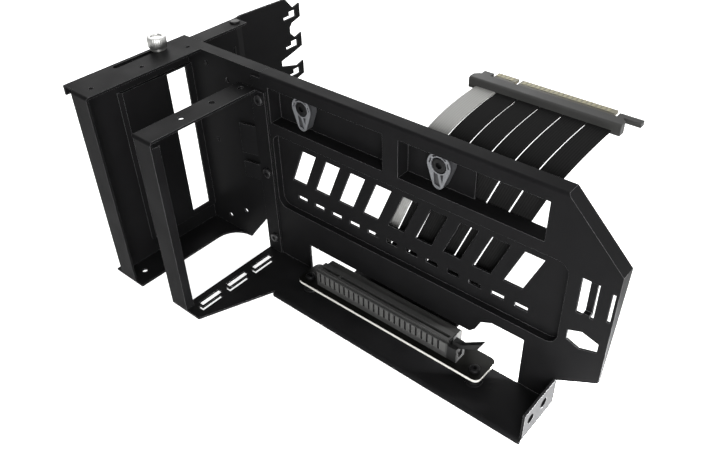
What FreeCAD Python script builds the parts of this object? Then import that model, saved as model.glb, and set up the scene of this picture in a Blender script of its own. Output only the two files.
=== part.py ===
import FreeCAD, Part
import math
import os
import Sketcher
from types import SimpleNamespace

# Upright graphics-card bracket: folded steel sheets, a riser board and its ribbon.
# X runs along the main plate, Y towards the computer's main board, Z up.
# Pieces are drawn from the top of the tray and lifted by the depth of the rear frame,
# so the origin lies on the underside of the foot, in the plane of the plate's front face.
SIZES = {
    # sheet metal, screws and clearances
    "sheet_thick": 1.2,
    "bend_round": 1.6,
    "bend_relief": 0.4,
    "slot_pitch": 20.32,
    "shank": 3.0,
    "thread_gap": 0.05,
    "screw_gap": 0.2,
    "slide_gap": 0.1,
    # main plate
    "plate_left": 41.6,
    "plate_top": 119.0,
    "plate_right": 255.4,
    "plate_corner": 29.0,
    "plate_right_low": 27.0,
    "rim_start": 48.2,
    "rim_deep": 8.5,
    "rim_low_deep": 2.0,
    "rim_taper_in": 2.0,
    "recess_low": 91.2,
    "recess_high": 112.0,
    "recess_deep": 8.0,
    "recess_one_left": 53.8,
    "recess_one_right": 131.0,
    "recess_two_left": 140.5,
    "recess_two_right": 219.4,
    "ribbon_window_left": 179.0,
    "panel_left": 53.8,
    "panel_right": 232.6,
    "panel_low": 36.7,
    "panel_high": 84.8,
    "panel_deep": 4.0,
    "panel_round": 6.0,
    "vent_margin": 9.0,
    "vent_above": 19.3,
    "vent_wide": 10.0,
    "vent_high": 22.0,
    "vent_slant": 9.0,
    "vent_step": 17.2,
    "dash_in": 3.0,
    "dash_above": 7.3,
    "dash_wide": 7.0,
    "dash_high": 2.6,
    "dash_step": 12.9,
    "opening_left": 76.0,
    "opening_right": 216.9,
    "opening_high": 17.4,
    "opening_top": 30.0,
    "step_left": 187.0,
    "step_long": 12.0,
    "step_round": 3.0,
    "tab_slot_in": 16.7,
    "tab_slot_wide": 8.1,
    "tab_slot_low": 61.8,
    "tab_slot_high": 19.6,
    "tab_in": 3.2,
    "tab_wide": 3.2,
    "tab_short": 2.0,
    "cable_in": 18.7,
    "cable_out": 3.9,
    "cable_level": 46.9,
    "cable_side": 2.7,
    "cable_half": 5.3,
    "cable_peak": 6.6,
    "slit_in": 1.4,
    "slit_wide": 1.5,
    "slit_low": 64.0,
    "slit_high": 15.8,
    # tray
    "tray_left": 73.2,
    "tray_right": 236.0,
    "tray_front": 30.0,
    "tray_lip": 3.0,
    "end_high": 15.5,
    "end_hole": 5.5,
    "end_hole_in": 8.2,
    "end_hole_level": 8.3,
    "end_hole_step": 11.9,
    "tongue_right": 56.0,
    "tongue_in": 8.6,
    "tongue_long": 14.4,
    "tongue_wide_left": 46.3,
    "tongue_gap": 3.4,
    "tongue_thin_left": 51.0,
    "tongue_thin": 2.2,
    "tongue_shift": 2.7,
    "tongue_hook": 2.0,
    "tongue_hook_wide": 1.4,
    # card frame
    "card_left": 31.0,
    "card_wide": 14.0,
    "card_near": 71.0,
    "card_top": 108.7,
    "card_return": 5.2,
    "return_gap": 2.0,
    "post_in": 2.0,
    "post_out": 1.0,
    "post_foot": 4.0,
    "card_hole": 3.4,
    "card_hole_in": 6.4,
    "card_hole_near": 44.9,
    "strap_wide": 10.2,
    "strap_hole_in": 6.7,
    "strap_hole_low": 11.0,
    "strap_hole_step": 46.5,
    "ear_one_low": 49.5,
    "ear_one_high": 10.5,
    "ear_two_low": 66.0,
    "ear_two_high": 19.0,
    "ear_bent": 2.4,
    "frame_head": 6.0,
    "frame_head_high": 2.0,
    "frame_screw_past": 1.2,
    # rear frame
    "rear_face": 12.5,
    "rear_near": 73.0,
    "rear_low": 3.0,
    "rear_flange": 24.0,
    "rear_lip": 6.0,
    "rear_floor": 6.7,
    "rear_raise": 2.0,
    "raise_in": 26.6,
    "raise_low": 9.0,
    "raise_over": 0.8,
    "raise_slope": 2.0,
    "window_left": 16.5,
    "window_right": 3.2,
    "window_low": 12.5,
    "window_high": 107.0,
    "side_right": 51.0,
    "side_slope_left": 24.4,
    "side_slope_low": 0.4,
    "flare_long": 15.3,
    "flare_deep": 14.0,
    "foot_tab": 4.6,
    "foot_tab_wide": 4.0,
    "foot_hole": 3.2,
    "foot_hole_across": 3.4,
    "foot_hole_in": 9.5,
    "flange_hole": 2.4,
    "flange_hole_across": 7.8,
    "flange_hole_in": 8.5,
    "flange_hole_step": 31.6,
    "wall_hole": 3.0,
    "wall_hole_near": 4.0,
    "wall_hole_far": 20.2,
    "wall_hole_high": 112.0,
    "wall_hole_mid": 62.5,
    "wall_hole_low": 6.0,
    "wall_hole_drop": 6.0,
    "wall_hole_rise": 10.5,
    "dimple_deep": 0.6,
    # slot plate
    "hook_plate": 20.6,
    "hook_plate_near": 10.0,
    "hook_plate_below": 6.0,
    "hook_arm_near": 30.0,
    "hook_arm_wide": 8.2,
    "hook_arm_gap": 0.3,
    "hook_flange": 11.2,
    "hook_flange_near": 4.0,
    "hook_flange_far": 45.0,
    "joggle_long": 5.0,
    "hook_far": 101.0,
    "hook_top": 110.0,
    "hook_high": 9.3,
    "hook_root": 8.0,
    "hook_lead": 2.0,
    "hook_dip": 1.6,
    "hook_notch": 10.0,
    "hook_notch_low": 20.0,
    "hook_notch_up": 2.5,
    "hook_notch_high": 4.0,
    "hook_top_in": 12.6,
    "hook_top_drop": 1.5,
    "hook_slot_tail": 15.0,
    "hook_slot_near": 10.0,
    "hook_slot_far": 4.4,
    "hook_bridge": 3.2,
    "hook_slot_high": 4.6,
    "hook_slot_foot": 2.0,
    "key_slot_near": 40.6,
    "key_slot_wide": 1.6,
    "key_slot_low": 94.5,
    "key_slot_high": 6.0,
    "key_slot_deep": 0.6,
    "slide_travel": 28.0,
    "arm_clear": 0.5,
    "stop_gap": 0.8,
    "rivet_head": 6.4,
    "rivet_high": 1.2,
    "rivet_tail": 0.8,
    # thumbscrew
    "thumb_across": 19.0,
    "thumb_back": 13.0,
    "thumb_top": 10.6,
    "thumb_base": 9.0,
    "thumb_high": 7.5,
    "collar_high": 1.4,
    "knurl_deep": 0.5,
    "dish_wide": 6.4,
    "dish_deep": 0.7,
    "thumb_tail": 5.0,
    "thumb_slot_gap": 0.3,
    "thumb_slot_end": 0.7,
    # clips
    "clip_across": 74.8,
    "clip_step": 87.0,
    "clip_level": 105.0,
    "clip_round": 6.5,
    "clip_tip_round": 3.2,
    "clip_drop": 9.6,
    "clip_thick": 5.0,
    "clip_rim": 0.8,
    "clip_web": 0.7,
    "clip_sunk": 1.0,
    "clip_head": 7.6,
    "clip_head_high": 2.2,
    "clip_head_gap": 0.4,
    "clip_screw_past": 0.4,
    # riser board
    "board_left": 82.8,
    "board_long": 122.0,
    "board_front": 19.0,
    "board_back": 0.5,
    "board_thick": 1.6,
    "board_round": 3.5,
    "board_hole_in": 5.2,
    "board_hole_front": 6.0,
    "standoff_high": 6.4,
    "standoff_wide": 5.6,
    "standoff_flange": 9.0,
    "standoff_flange_high": 0.8,
    "board_head": 5.4,
    "board_head_high": 1.8,
    "board_screw_past": 4.0,
    # card slot and its latch
    "slot_left": 95.5,
    "slot_long": 89.0,
    "slot_front": 15.2,
    "slot_wide": 7.8,
    "slot_high": 11.25,
    "slot_end": 1.6,
    "groove_wide": 1.8,
    "groove_deep": 8.4,
    "key_from": 13.4,
    "key_wide": 1.6,
    "rib_in": 2.0,
    "rib_step": 3.5,
    "rib_wide": 1.2,
    "rib_deep": 0.8,
    "rib_low": 3.4,
    "rib_under": 1.8,
    "top_step": 1.3,
    "top_step_deep": 1.4,
    "contact_in": 2.5,
    "contact_step": 2.8,
    "contact_wide": 0.7,
    "contact_thick": 0.25,
    "contact_high": 6.0,
    "latch_post": 5.0,
    "latch_post_drop": 2.2,
    "latch_seat_deep": 7.0,
    "latch_wide": 3.0,
    "latch_axis_up": 5.0,
    "latch_pin": 1.6,
    "latch_pin_out": 1.0,
    "latch_half": 1.4,
    "latch_foot": 1.6,
    "latch_neck": 2.2,
    "latch_under": 3.4,
    "latch_shoulder": 3.4,
    "latch_reach": 15.4,
    "latch_rise": 8.4,
    "latch_tip_back": 2.4,
    "latch_tip_thick": 5.0,
    # clamp that holds the ribbon's ends on the riser board
    "clamp_in": 0.6,
    "clamp_gap": 1.0,
    "clamp_high": 10.0,
    "clamp_slope": 1.2,
    # ribbon and plug
    "ribbon_wide": 71.0,
    "ribbon_thick": 1.0,
    "ribbon_slit": 1.0,
    "ribbon_back": 10.5,
    "ribbon_low_bend": 8.0,
    "ribbon_top_bend": 20.0,
    "ribbon_level": 122.0,
    "plug_front": 50.0,
    "plug_deep": 6.5,
    "plug_high": 5.6,
    "plug_wide": 78.6,
    "plug_middle": 184.6,
    "plug_under": 1.2,
    "plug_round": 1.2,
    "plug_chamfer": 2.4,
    "plug_root": 2.0,
    "plug_tab_up": 1.4,
    "plug_tab_high": 3.0,
    "plug_tab_in": 1.6,
    "plug_tab_out": 5.5,
    "plug_tab_gap": 1.0,
    "lock_gap": 1.6,
    "lock_high": 2.4,
    "lock_neck": 3.4,
    "lock_out": 3.4,
    "lock_reach": 11.4,
    "lock_bar": 3.4,
    "edge_in": 8.0,
    "edge_long": 62.6,
    "edge_seat": 4.5,
    "edge_up": 2.2,
    "edge_out": 8.5,
    "edge_key_from": 11.5,
    "edge_key_gap": 1.9,
    "edge_key_deep": 7.0,
    "finger_side": 1.5,
    "finger_first": 0.6,
    "finger_step": 2.4,
    "finger_wide": 1.7,
    "finger_long": 3.4,
    "finger_in": 0.2,
    "finger_thick": 0.15,
}

doc = FreeCAD.newDocument("card_bracket")
sheet = doc.addObject("Spreadsheet::Sheet", "Sizes")
for row, (alias, number) in enumerate(SIZES.items(), start=1):
    sheet.set(f"A{row}", alias)
    sheet.set(f"B{row}", str(number))
    sheet.setAlias(f"B{row}", alias)
doc.recompute()


class Dim:
    """A length that carries its formula, so that sketches and features follow the sheet."""

    def __init__(self, value, text):
        self.value = value
        self.text = text

    def __add__(self, other):
        other = as_dim(other)
        return Dim(self.value + other.value, f"({self.text} + {other.text})")

    def __sub__(self, other):
        other = as_dim(other)
        return Dim(self.value - other.value, f"({self.text} - {other.text})")

    def __rsub__(self, other):
        return as_dim(other) - self

    def __mul__(self, factor):
        return Dim(self.value * factor, f"({self.text} * {factor:.9f})")

    def __neg__(self):
        return Dim(-self.value, f"(-1 * {self.text})")

    __radd__ = __add__
    __rmul__ = __mul__


def as_dim(number):
    """Turn a plain number into a length."""
    if isinstance(number, Dim):
        return number
    return Dim(number, f"({number:.9f})")


S = SimpleNamespace(**{alias: Dim(float(number), f"Sizes.{alias}") for alias, number in SIZES.items()})
T = S.sheet_thick
ZERO = as_dim(0)

NODES = []
SMALL_FLATS = 10
HEAD_FLATS = 16
HEXAGON = 6
SOCKET_WIDE = 0.42
SOCKET_DEEP = 0.6
SAME_PLACE = 1e-4
PLANE_SIGN = {"XY": 1, "XZ": -1, "YZ": 1}


def new_body(label):
    """Start one named piece."""
    body = doc.addObject("PartDesign::Body", label)
    body.Label = label
    body.AllowCompound = True
    body.setExpression("Placement.Base.z", S.rear_low.text)
    NODES.append(body)
    return body


def new_sketch(body, name, plane, level, shapes):
    """Draw closed shapes on a plane of the body, at a level along the plane's own axis."""
    sketch = body.newObject("Sketcher::SketchObject", name)
    support = next(item for item in body.Origin.OriginFeatures if item.Role == plane + "_Plane")
    sketch.AttachmentSupport = [(support, "")]
    sketch.MapMode = "FlatFace"
    sketch.setExpression("AttachmentOffset.Base.z", (as_dim(level) * PLANE_SIGN[plane]).text)
    for draw in shapes:
        draw(sketch)
    return sketch


def tie(sketch, geometry, end, point):
    """Bind one end of a line to its place."""
    for kind, size in (("DistanceX", point[0]), ("DistanceY", point[1])):
        index = sketch.addConstraint(Sketcher.Constraint(kind, -1, 1, geometry, end, size.value))
        sketch.setExpression(f"Constraints[{index}]", size.text)


def polygon(*corners):
    """Closed outline through the corners."""
    corners = [(as_dim(a), as_dim(b)) for a, b in corners]

    def draw(sketch):
        first = len(sketch.Geometry)
        count = len(corners)
        for here, there in zip(corners, corners[1:] + corners[:1]):
            start = FreeCAD.Vector(here[0].value, here[1].value, 0)
            end = FreeCAD.Vector(there[0].value, there[1].value, 0)
            sketch.addGeometry(Part.LineSegment(start, end), False)
        for i in range(count):
            sketch.addConstraint(
                Sketcher.Constraint("Coincident", first + i, 2, first + (i + 1) % count, 1))
        for i, corner in enumerate(corners):
            tie(sketch, first + i, 1, corner)

    return draw


def box(a_low, a_high, b_low, b_high):
    """Rectangle between two values on each axis."""
    return polygon((a_low, b_low), (a_high, b_low), (a_high, b_high), (a_low, b_high))


def rounded(a_low, a_high, b_low, b_high, radius):
    """Rectangle with rounded corners."""
    a_low, a_high, b_low, b_high, radius = map(as_dim, (a_low, a_high, b_low, b_high, radius))
    sides = [
        ((a_low + radius, b_low), (a_high - radius, b_low)),
        ((a_high, b_low + radius), (a_high, b_high - radius)),
        ((a_high - radius, b_high), (a_low + radius, b_high)),
        ((a_low, b_high - radius), (a_low, b_low + radius)),
    ]
    middles = [
        (a_high - radius, b_low + radius),
        (a_high - radius, b_high - radius),
        (a_low + radius, b_high - radius),
        (a_low + radius, b_low + radius),
    ]

    def draw(sketch):
        first = len(sketch.Geometry)
        for start, end in sides:
            sketch.addGeometry(Part.LineSegment(
                FreeCAD.Vector(start[0].value, start[1].value, 0),
                FreeCAD.Vector(end[0].value, end[1].value, 0)), False)
        for i, middle in enumerate(middles):
            centre = FreeCAD.Vector(middle[0].value, middle[1].value, 0)
            circle_line = Part.Circle(centre, FreeCAD.Vector(0, 0, 1), radius.value)
            turn = (i - 1) * math.pi / 2
            sketch.addGeometry(Part.ArcOfCircle(circle_line, turn, turn + math.pi / 2), False)
        for i, (start, end) in enumerate(sides):
            arc = first + 4 + i
            tie(sketch, first + i, 1, start)
            tie(sketch, first + i, 2, end)
            sketch.addConstraint(Sketcher.Constraint("Coincident", arc, 1, first + i, 2))
            sketch.addConstraint(Sketcher.Constraint("Coincident", arc, 2, first + (i + 1) % 4, 1))
            index = sketch.addConstraint(Sketcher.Constraint("Radius", arc, radius.value))
            sketch.setExpression(f"Constraints[{index}]", radius.text)

    return draw


def circle(a, b, across):
    """Circle from its middle and its width."""
    a, b, radius = as_dim(a), as_dim(b), as_dim(across) * 0.5

    def draw(sketch):
        index = len(sketch.Geometry)
        centre = FreeCAD.Vector(a.value, b.value, 0)
        sketch.addGeometry(Part.Circle(centre, FreeCAD.Vector(0, 0, 1), radius.value), False)
        tie(sketch, index, 3, (a, b))
        size = sketch.addConstraint(Sketcher.Constraint("Radius", index, radius.value))
        sketch.setExpression(f"Constraints[{size}]", radius.text)

    return draw


def flats(a, b, across, sides=SMALL_FLATS):
    """Many-sided outline with its flats the given width apart, for small holes, shanks and heads."""
    a, b, across = map(as_dim, (a, b, across))
    corner = across * (0.5 / math.cos(math.pi / sides))
    turns = [2 * math.pi * (i + 0.5) / sides for i in range(sides)]
    return polygon(*[(a + corner * math.cos(turn), b + corner * math.sin(turn)) for turn in turns])


def knurl(across, deep, teeth):
    """Toothed outline about the origin: corners in turn on the outer width and a groove's depth in."""
    outer = across * 0.5
    inner = outer - deep
    corners = []
    for i in range(teeth):
        tip = 2 * math.pi * i / teeth
        root = tip + math.pi / teeth
        corners.append((outer * math.cos(tip), outer * math.sin(tip)))
        corners.append((inner * math.cos(root), inner * math.sin(root)))
    return polygon(*corners)


def clip_outline(big, small, drop):
    """Drop-shaped outline: a large circle above, a small one below, and the two tangents."""

    def draw(sketch):
        lean = math.asin((big.value - small.value) / drop.value)
        side = FreeCAD.Vector(math.cos(lean), -math.sin(lean), 0)
        mirror = FreeCAD.Vector(-side.x, side.y, 0)
        low = FreeCAD.Vector(0, -drop.value, 0)
        up = FreeCAD.Vector(0, 0, 1)
        upper = Part.Circle(FreeCAD.Vector(), up, big.value)
        lower = Part.Circle(low, up, small.value)
        sketch.addGeometry(Part.ArcOfCircle(upper, -lean, math.pi + lean), False)
        sketch.addGeometry(Part.LineSegment(mirror * big.value, low + mirror * small.value), False)
        sketch.addGeometry(Part.ArcOfCircle(lower, math.pi + lean, 2 * math.pi - lean), False)
        sketch.addGeometry(Part.LineSegment(low + side * small.value, side * big.value), False)
        for first, second in ((0, 1), (1, 2), (2, 3), (3, 0)):
            sketch.addConstraint(Sketcher.Constraint("Tangent", first, 2, second, 1))
        tie(sketch, 0, 3, (ZERO, ZERO))
        tie(sketch, 2, 3, (ZERO, -drop))
        for arc, size in ((0, big), (2, small)):
            index = sketch.addConstraint(Sketcher.Constraint("Radius", arc, size.value))
            sketch.setExpression(f"Constraints[{index}]", size.text)

    return draw


def add(body, name, plane, level, depth, towards, *shapes):
    """Add a plate of the given depth, towards the plus or the minus side of its level."""
    sketch = new_sketch(body, name + "_lines", plane, level, shapes)
    feature = body.newObject("PartDesign::Pad", name)
    feature.Profile = sketch
    feature.setExpression("Length", as_dim(depth).text)
    feature.Reversed = towards != PLANE_SIGN[plane]
    sketch.Visibility = False
    return feature


def cut(body, name, plane, level, depth, towards, *shapes):
    """Cut away shapes to a depth, towards the plus or the minus side of their level."""
    sketch = new_sketch(body, name + "_lines", plane, level, shapes)
    feature = body.newObject("PartDesign::Pocket", name)
    feature.Profile = sketch
    feature.setExpression("Length", as_dim(depth).text)
    feature.Reversed = towards == PLANE_SIGN[plane]
    sketch.Visibility = False
    return feature


def repeat(body, name, feature, axis, step, count):
    """Repeat a feature in a straight row along an axis of its own sketch."""
    pattern = body.newObject("PartDesign::LinearPattern", name)
    pattern.Originals = [feature]
    pattern.Direction = (feature.Profile[0], [axis])
    pattern.setExpression("Length", (as_dim(step) * (count - 1)).text)
    pattern.Occurrences = count
    body.Tip = pattern
    return pattern


def round_bend(body, name, radius, **place):
    """Round the straight edges that lie wholly at the given x, y or z values."""
    doc.recompute()
    base = body.Tip
    names = []
    for index, edge in enumerate(base.Shape.Edges, start=1):
        points = [vertex.Point for vertex in edge.Vertexes]
        if all(abs(getattr(p, axis) - size.value) < SAME_PLACE for p in points for axis, size in place.items()):
            names.append(f"Edge{index}")
    feature = body.newObject("PartDesign::Fillet", name)
    feature.Base = (base, names)
    feature.setExpression("Radius", as_dim(radius).text)
    body.Tip = feature
    return feature


def place(body, x, y, z, axis=None, angle=0):
    """Put a piece drawn at the origin in its place."""
    if axis is not None:
        body.Placement = FreeCAD.Placement(FreeCAD.Vector(), FreeCAD.Rotation(axis, angle))
    for letter, size in zip("xyz", (x, y, z + S.rear_low)):
        body.setExpression(f"Placement.Base.{letter}", as_dim(size).text)


def screws(label, head_wide, head_high, long, step, axis, count, shank_outline):
    """Row of socket-head screws, drawn with the heads up and their undersides at zero."""
    body = new_body(label)
    shank = add(body, "shank", "XY", 0, long, -1, shank_outline(0, 0, S.shank))
    head = add(body, "head", "XY", 0, head_high, 1, flats(0, 0, head_wide, HEAD_FLATS))
    socket = cut(body, "socket", "XY", head_high, head_high * SOCKET_DEEP, -1,
                 flats(0, 0, head_wide * SOCKET_WIDE, HEXAGON))
    pattern = body.newObject("PartDesign::MultiTransform", "row")
    pattern.Originals = [shank, head, socket]
    line = body.newObject("PartDesign::LinearPattern", "line")
    line.Direction = (next(i for i in body.Origin.OriginFeatures if i.Role == axis), [""])
    line.setExpression("Length", (as_dim(step) * (count - 1)).text)
    line.Occurrences = count
    pattern.Transformations = [line]
    body.Tip = pattern
    return body


X_AXIS = FreeCAD.Vector(1, 0, 0)
FACING_FRONT = 90
CARD_PLACES = 3
hole = S.shank + S.screw_gap * 2
running_hole = S.shank + S.thread_gap * 2

# Main plate with the tray: one folded sheet.
VENTS = 9
DASHES = 12
STRAP_SCREWS = 3
main = new_body("main_plate")
corner_inset = T * math.tan(math.pi / 8)
top_right = S.plate_right - S.plate_corner
corner_low = S.plate_top - S.plate_corner
arm_relief = T + S.slide_gap + S.arm_clear
joint_top = S.plate_top - T - arm_relief
fold_clear = S.tray_front - S.bend_round - S.bend_relief
post_left = S.card_left + S.post_in
add(main, "face", "XZ", 0, T, 1, polygon(
    (S.plate_left, -T),
    (S.plate_left, joint_top),
    (S.rim_start, joint_top),
    (S.rim_start, S.plate_top),
    (top_right, S.plate_top),
    (S.plate_right, corner_low),
    (S.plate_right, S.plate_right_low),
    (S.tray_right, S.end_high),
    (S.tray_right, -T),
))
add(main, "rim", "XZ", 0, S.rim_deep, 1, polygon(
    (S.rim_start, S.plate_top),
    (top_right, S.plate_top),
    (S.plate_right, corner_low),
    (S.plate_right, S.plate_right_low),
    (S.plate_right - T, S.plate_right_low),
    (S.plate_right - T, corner_low - corner_inset),
    (top_right - corner_inset, S.plate_top - T),
    (S.rim_start, S.plate_top - T),
))
taper_high = corner_low - S.rim_taper_in
taper_low = S.plate_right_low - T
cut(main, "rim_taper", "YZ", S.plate_right - T * 3, T * 5, 1, polygon(
    (S.rim_deep, taper_high),
    (S.rim_deep + T, taper_high),
    (S.rim_deep + T, taper_low),
    (S.rim_low_deep, taper_low),
))
add(main, "tray", "XY", 0, T, -1, polygon(
    (S.plate_left, T),
    (S.plate_left, S.post_foot * 2 - S.card_near),
    (post_left, S.post_foot - S.card_near),
    (post_left, -S.card_near),
    (S.tongue_right, -S.card_near),
    (S.tray_left, -fold_clear),
    (S.tray_left, -S.tray_front),
    (S.tray_right, -S.tray_front),
    (S.tray_right, T),
))
add(main, "tray_lip", "XZ", -S.tray_front, T, 1, box(S.tray_left, S.tray_right, -S.tray_lip, ZERO))
add(main, "end_flange", "YZ", S.tray_right, T, -1, box(-fold_clear, T, -T, S.end_high))
for name, left, right in (
        ("recess_one", S.recess_one_left, S.recess_one_right),
        ("recess_two", S.recess_two_left, S.recess_two_right)):
    add(main, name + "_box", "XZ", 0, S.recess_deep + T, 1,
        box(left - T, right + T, S.recess_low - T, S.recess_high + T))
    cut(main, name, "XZ", 0, S.recess_deep, 1, box(left, right, S.recess_low, S.recess_high))
add(main, "panel_box", "XZ", 0, S.panel_deep + T, 1, rounded(
    S.panel_left - T, S.panel_right + T, S.panel_low - T, S.panel_high + T, S.panel_round + T))
cut(main, "panel", "XZ", 0, S.panel_deep, 1, rounded(
    S.panel_left, S.panel_right, S.panel_low, S.panel_high, S.panel_round))
through = S.recess_deep + T * 3
cut(main, "ribbon_window", "XZ", 0, through, 1,
    box(S.ribbon_window_left, S.recess_two_right, S.recess_low, S.recess_high))
# Slanted vents with a row of short slots below them.
vent_left = S.panel_left + S.vent_margin
vent_low = S.panel_low + S.vent_above
vent = cut(main, "vent", "XZ", 0, through, 1, polygon(
    (vent_left, vent_low),
    (vent_left + S.vent_wide, vent_low),
    (vent_left + S.vent_wide + S.vent_slant, vent_low + S.vent_high),
    (vent_left + S.vent_slant, vent_low + S.vent_high),
))
repeat(main, "vents", vent, "H_Axis", S.vent_step, VENTS)
dash_left = vent_left + S.dash_in
dash_low = S.panel_low + S.dash_above
dash = cut(main, "dash", "XZ", 0, through, 1, box(
    dash_left, dash_left + S.dash_wide, dash_low, dash_low + S.dash_high))
repeat(main, "dashes", dash, "H_Axis", S.dash_step, DASHES)
# Opening above the tray for the riser board, with a raised end.
step_right = S.step_left + S.step_long
cut(main, "riser_opening", "XZ", 0, through, 1, polygon(
    (S.opening_left, -T * 2),
    (S.opening_left, S.opening_high),
    (S.step_left, S.opening_high),
    (S.step_left + S.step_round, S.opening_high + S.step_round),
    (step_right - S.step_round * 2, S.opening_top - S.step_round),
    (step_right, S.opening_top),
    (S.opening_right, S.opening_top),
    (S.opening_right, -T * 2),
))
# Slot with a bent tab, cable hole and slit near the right edge.
tab_slot_left = S.plate_right - S.tab_slot_in
tab_slot_top = S.tab_slot_low + S.tab_slot_high
tab_left = tab_slot_left + S.tab_in
tab_right = tab_left + S.tab_wide
cut(main, "tab_slot", "XZ", 0, through, 1,
    box(tab_slot_left, tab_slot_left + S.tab_slot_wide, S.tab_slot_low, tab_slot_top))
add(main, "tab_foot", "XZ", 0, T * 3, 1,
    box(tab_left, tab_right, S.tab_slot_low - S.bend_relief, S.tab_slot_low + T))
add(main, "tab", "XZ", T * 2, T, 1,
    box(tab_left, tab_right, S.tab_slot_low, tab_slot_top - S.tab_short))
cable_left = S.plate_right - S.cable_in
cable_right = S.plate_right - S.cable_out
cut(main, "cable_hole", "XZ", 0, through, 1, polygon(
    (cable_left, S.cable_level - S.cable_side),
    (cable_left + S.cable_peak, S.cable_level - S.cable_half),
    (cable_right, S.cable_level - S.cable_side),
    (cable_right, S.cable_level + S.cable_side),
    (cable_left + S.cable_peak, S.cable_level + S.cable_half),
    (cable_left, S.cable_level + S.cable_side),
))
slit_right = S.plate_right - S.slit_in
cut(main, "edge_slit", "XZ", 0, T, 1,
    box(slit_right - S.slit_wide, slit_right, S.slit_low, S.slit_low + S.slit_high))
# Slots for the card's tongues: a wide and a thin one for each place.
tongue_near = S.tongue_in - S.card_near
thin_near = tongue_near - S.tongue_shift
thin_right = S.tongue_thin_left + S.tongue_thin
tongues = cut(main, "tongue_slot", "XY", 0, T * 2, -1,
              box(S.tongue_wide_left, S.tongue_wide_left + S.tongue_gap,
                  tongue_near, tongue_near + S.tongue_long),
              polygon((S.tongue_thin_left - S.tongue_hook, thin_near),
                      (thin_right, thin_near),
                      (thin_right, thin_near + S.tongue_long),
                      (S.tongue_thin_left, thin_near + S.tongue_long),
                      (S.tongue_thin_left, thin_near + S.tongue_hook_wide),
                      (S.tongue_thin_left - S.tongue_hook, thin_near + S.tongue_hook_wide)))
repeat(main, "tongue_slots", tongues, "V_Axis", S.slot_pitch, CARD_PLACES)
end_hole_first = S.end_hole_in - S.tray_front
cut(main, "end_holes", "YZ", S.tray_right, T * 2, -1,
    circle(end_hole_first, S.end_hole_level, S.end_hole),
    circle(end_hole_first + S.end_hole_step, S.end_hole_level, S.end_hole))
strap_hole_across = S.plate_left + S.strap_hole_in
strap_levels = [S.strap_hole_low + S.strap_hole_step * i for i in range(STRAP_SCREWS)]
cut(main, "strap_holes", "XZ", 0, T, 1, *[flats(strap_hole_across, level, hole) for level in strap_levels])
cut(main, "clip_holes", "XZ", S.recess_deep, T, 1,
    flats(S.clip_across, S.clip_level, hole),
    flats(S.clip_across + S.clip_step, S.clip_level, hole))
round_bend(main, "top_bend", S.bend_round, y=ZERO, z=S.plate_top)
round_bend(main, "lip_bend", S.bend_round, y=-S.tray_front, z=ZERO)

# Card frame: the strip that takes the card's screws, its post and its strap with two bent ears.
card = new_body("card_frame")
card_right = S.card_left + S.card_wide
post_right = card_right + S.post_out
add(card, "strip", "XY", S.card_top, T, -1, box(S.card_left, card_right, -S.card_near, ZERO))
add(card, "post", "XZ", -S.card_near, T, 1, box(post_left, post_right, ZERO, S.card_top))
add(card, "return", "YZ", post_right, T, -1,
    box(-S.card_near, S.card_return - S.card_near, ZERO, S.card_top - T - S.return_gap))
add(card, "strap", "XZ", 0, T, -1,
    box(S.plate_left, S.plate_left + S.strap_wide, ZERO, S.card_top))
for name, low, high in (
        ("ear_one", S.ear_one_low, S.ear_one_high),
        ("ear_two", S.ear_two_low, S.ear_two_high)):
    add(card, name, "XY", low, high, 1, polygon(
        (S.plate_left + T, ZERO),
        (S.plate_left, ZERO),
        (S.card_left, -S.ear_bent),
        (S.card_left, -S.ear_bent - T),
        (S.plate_left, -T),
        (S.plate_left + T, -T),
    ))
card_hole = cut(card, "card_hole", "XY", S.card_top, T * 2, -1,
                circle(S.card_left + S.card_hole_in, -S.card_hole_near, S.card_hole))
repeat(card, "card_holes", card_hole, "V_Axis", S.slot_pitch, CARD_PLACES)
cut(card, "strap_holes", "XZ", 0, T, -1, *[flats(strap_hole_across, level, hole) for level in strap_levels])
round_bend(card, "post_bend", S.bend_round, y=-S.card_near, z=S.card_top)

# Rear frame: the channel behind the card, folded from one sheet.
FLARE_STEPS = 6
FLANGE_HOLES = 3
SIDE_SLOPE = 1.29
rear = new_body("rear_frame")
rear_back = -(S.rear_face + T)
wall_front = T
wall_back = T * 2
flange_end = S.rim_deep
corner_relief = S.bend_round + S.bend_relief - S.rear_near
wall_top_right = S.rim_start - S.screw_gap
raise_near = S.raise_in - S.rear_near
raise_high = S.window_high + S.raise_over
flare_right = S.rear_floor + S.flare_long
add(rear, "back", "YZ", rear_back, T, 1, box(-S.rear_near, wall_back, -S.rear_low, S.plate_top))
add(rear, "raised_area", "XY", S.raise_low, raise_high - S.raise_low, 1, polygon(
    (-S.rear_face, raise_near - S.raise_slope),
    (S.rear_raise - S.rear_face, raise_near),
    (S.rear_raise - S.rear_face, wall_front),
    (-S.rear_face, wall_front),
))
cut(rear, "raised_back", "YZ", rear_back, S.rear_raise, 1,
    box(raise_near + T, wall_front - T, S.raise_low + T, raise_high - T))
cut(rear, "window", "YZ", rear_back, T * 5, 1,
    box(-S.window_left, -S.window_right, S.window_low, S.window_high))
add(rear, "front_strip", "XZ", -S.rear_near, T, 1, box(rear_back, ZERO, -S.rear_low, S.plate_top))
slope_high = S.side_slope_low + (S.side_right - S.side_slope_left) * SIDE_SLOPE
add(rear, "side_wall", "XZ", wall_front, T, 1, polygon(
    (rear_back, -S.rear_low),
    (flare_right, -S.rear_low),
    (S.side_slope_left, S.side_slope_low),
    (S.side_right, slope_high),
    (S.side_right, joint_top),
    (wall_top_right, joint_top),
    (wall_top_right, S.plate_top),
    (rear_back, S.plate_top),
))
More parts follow.
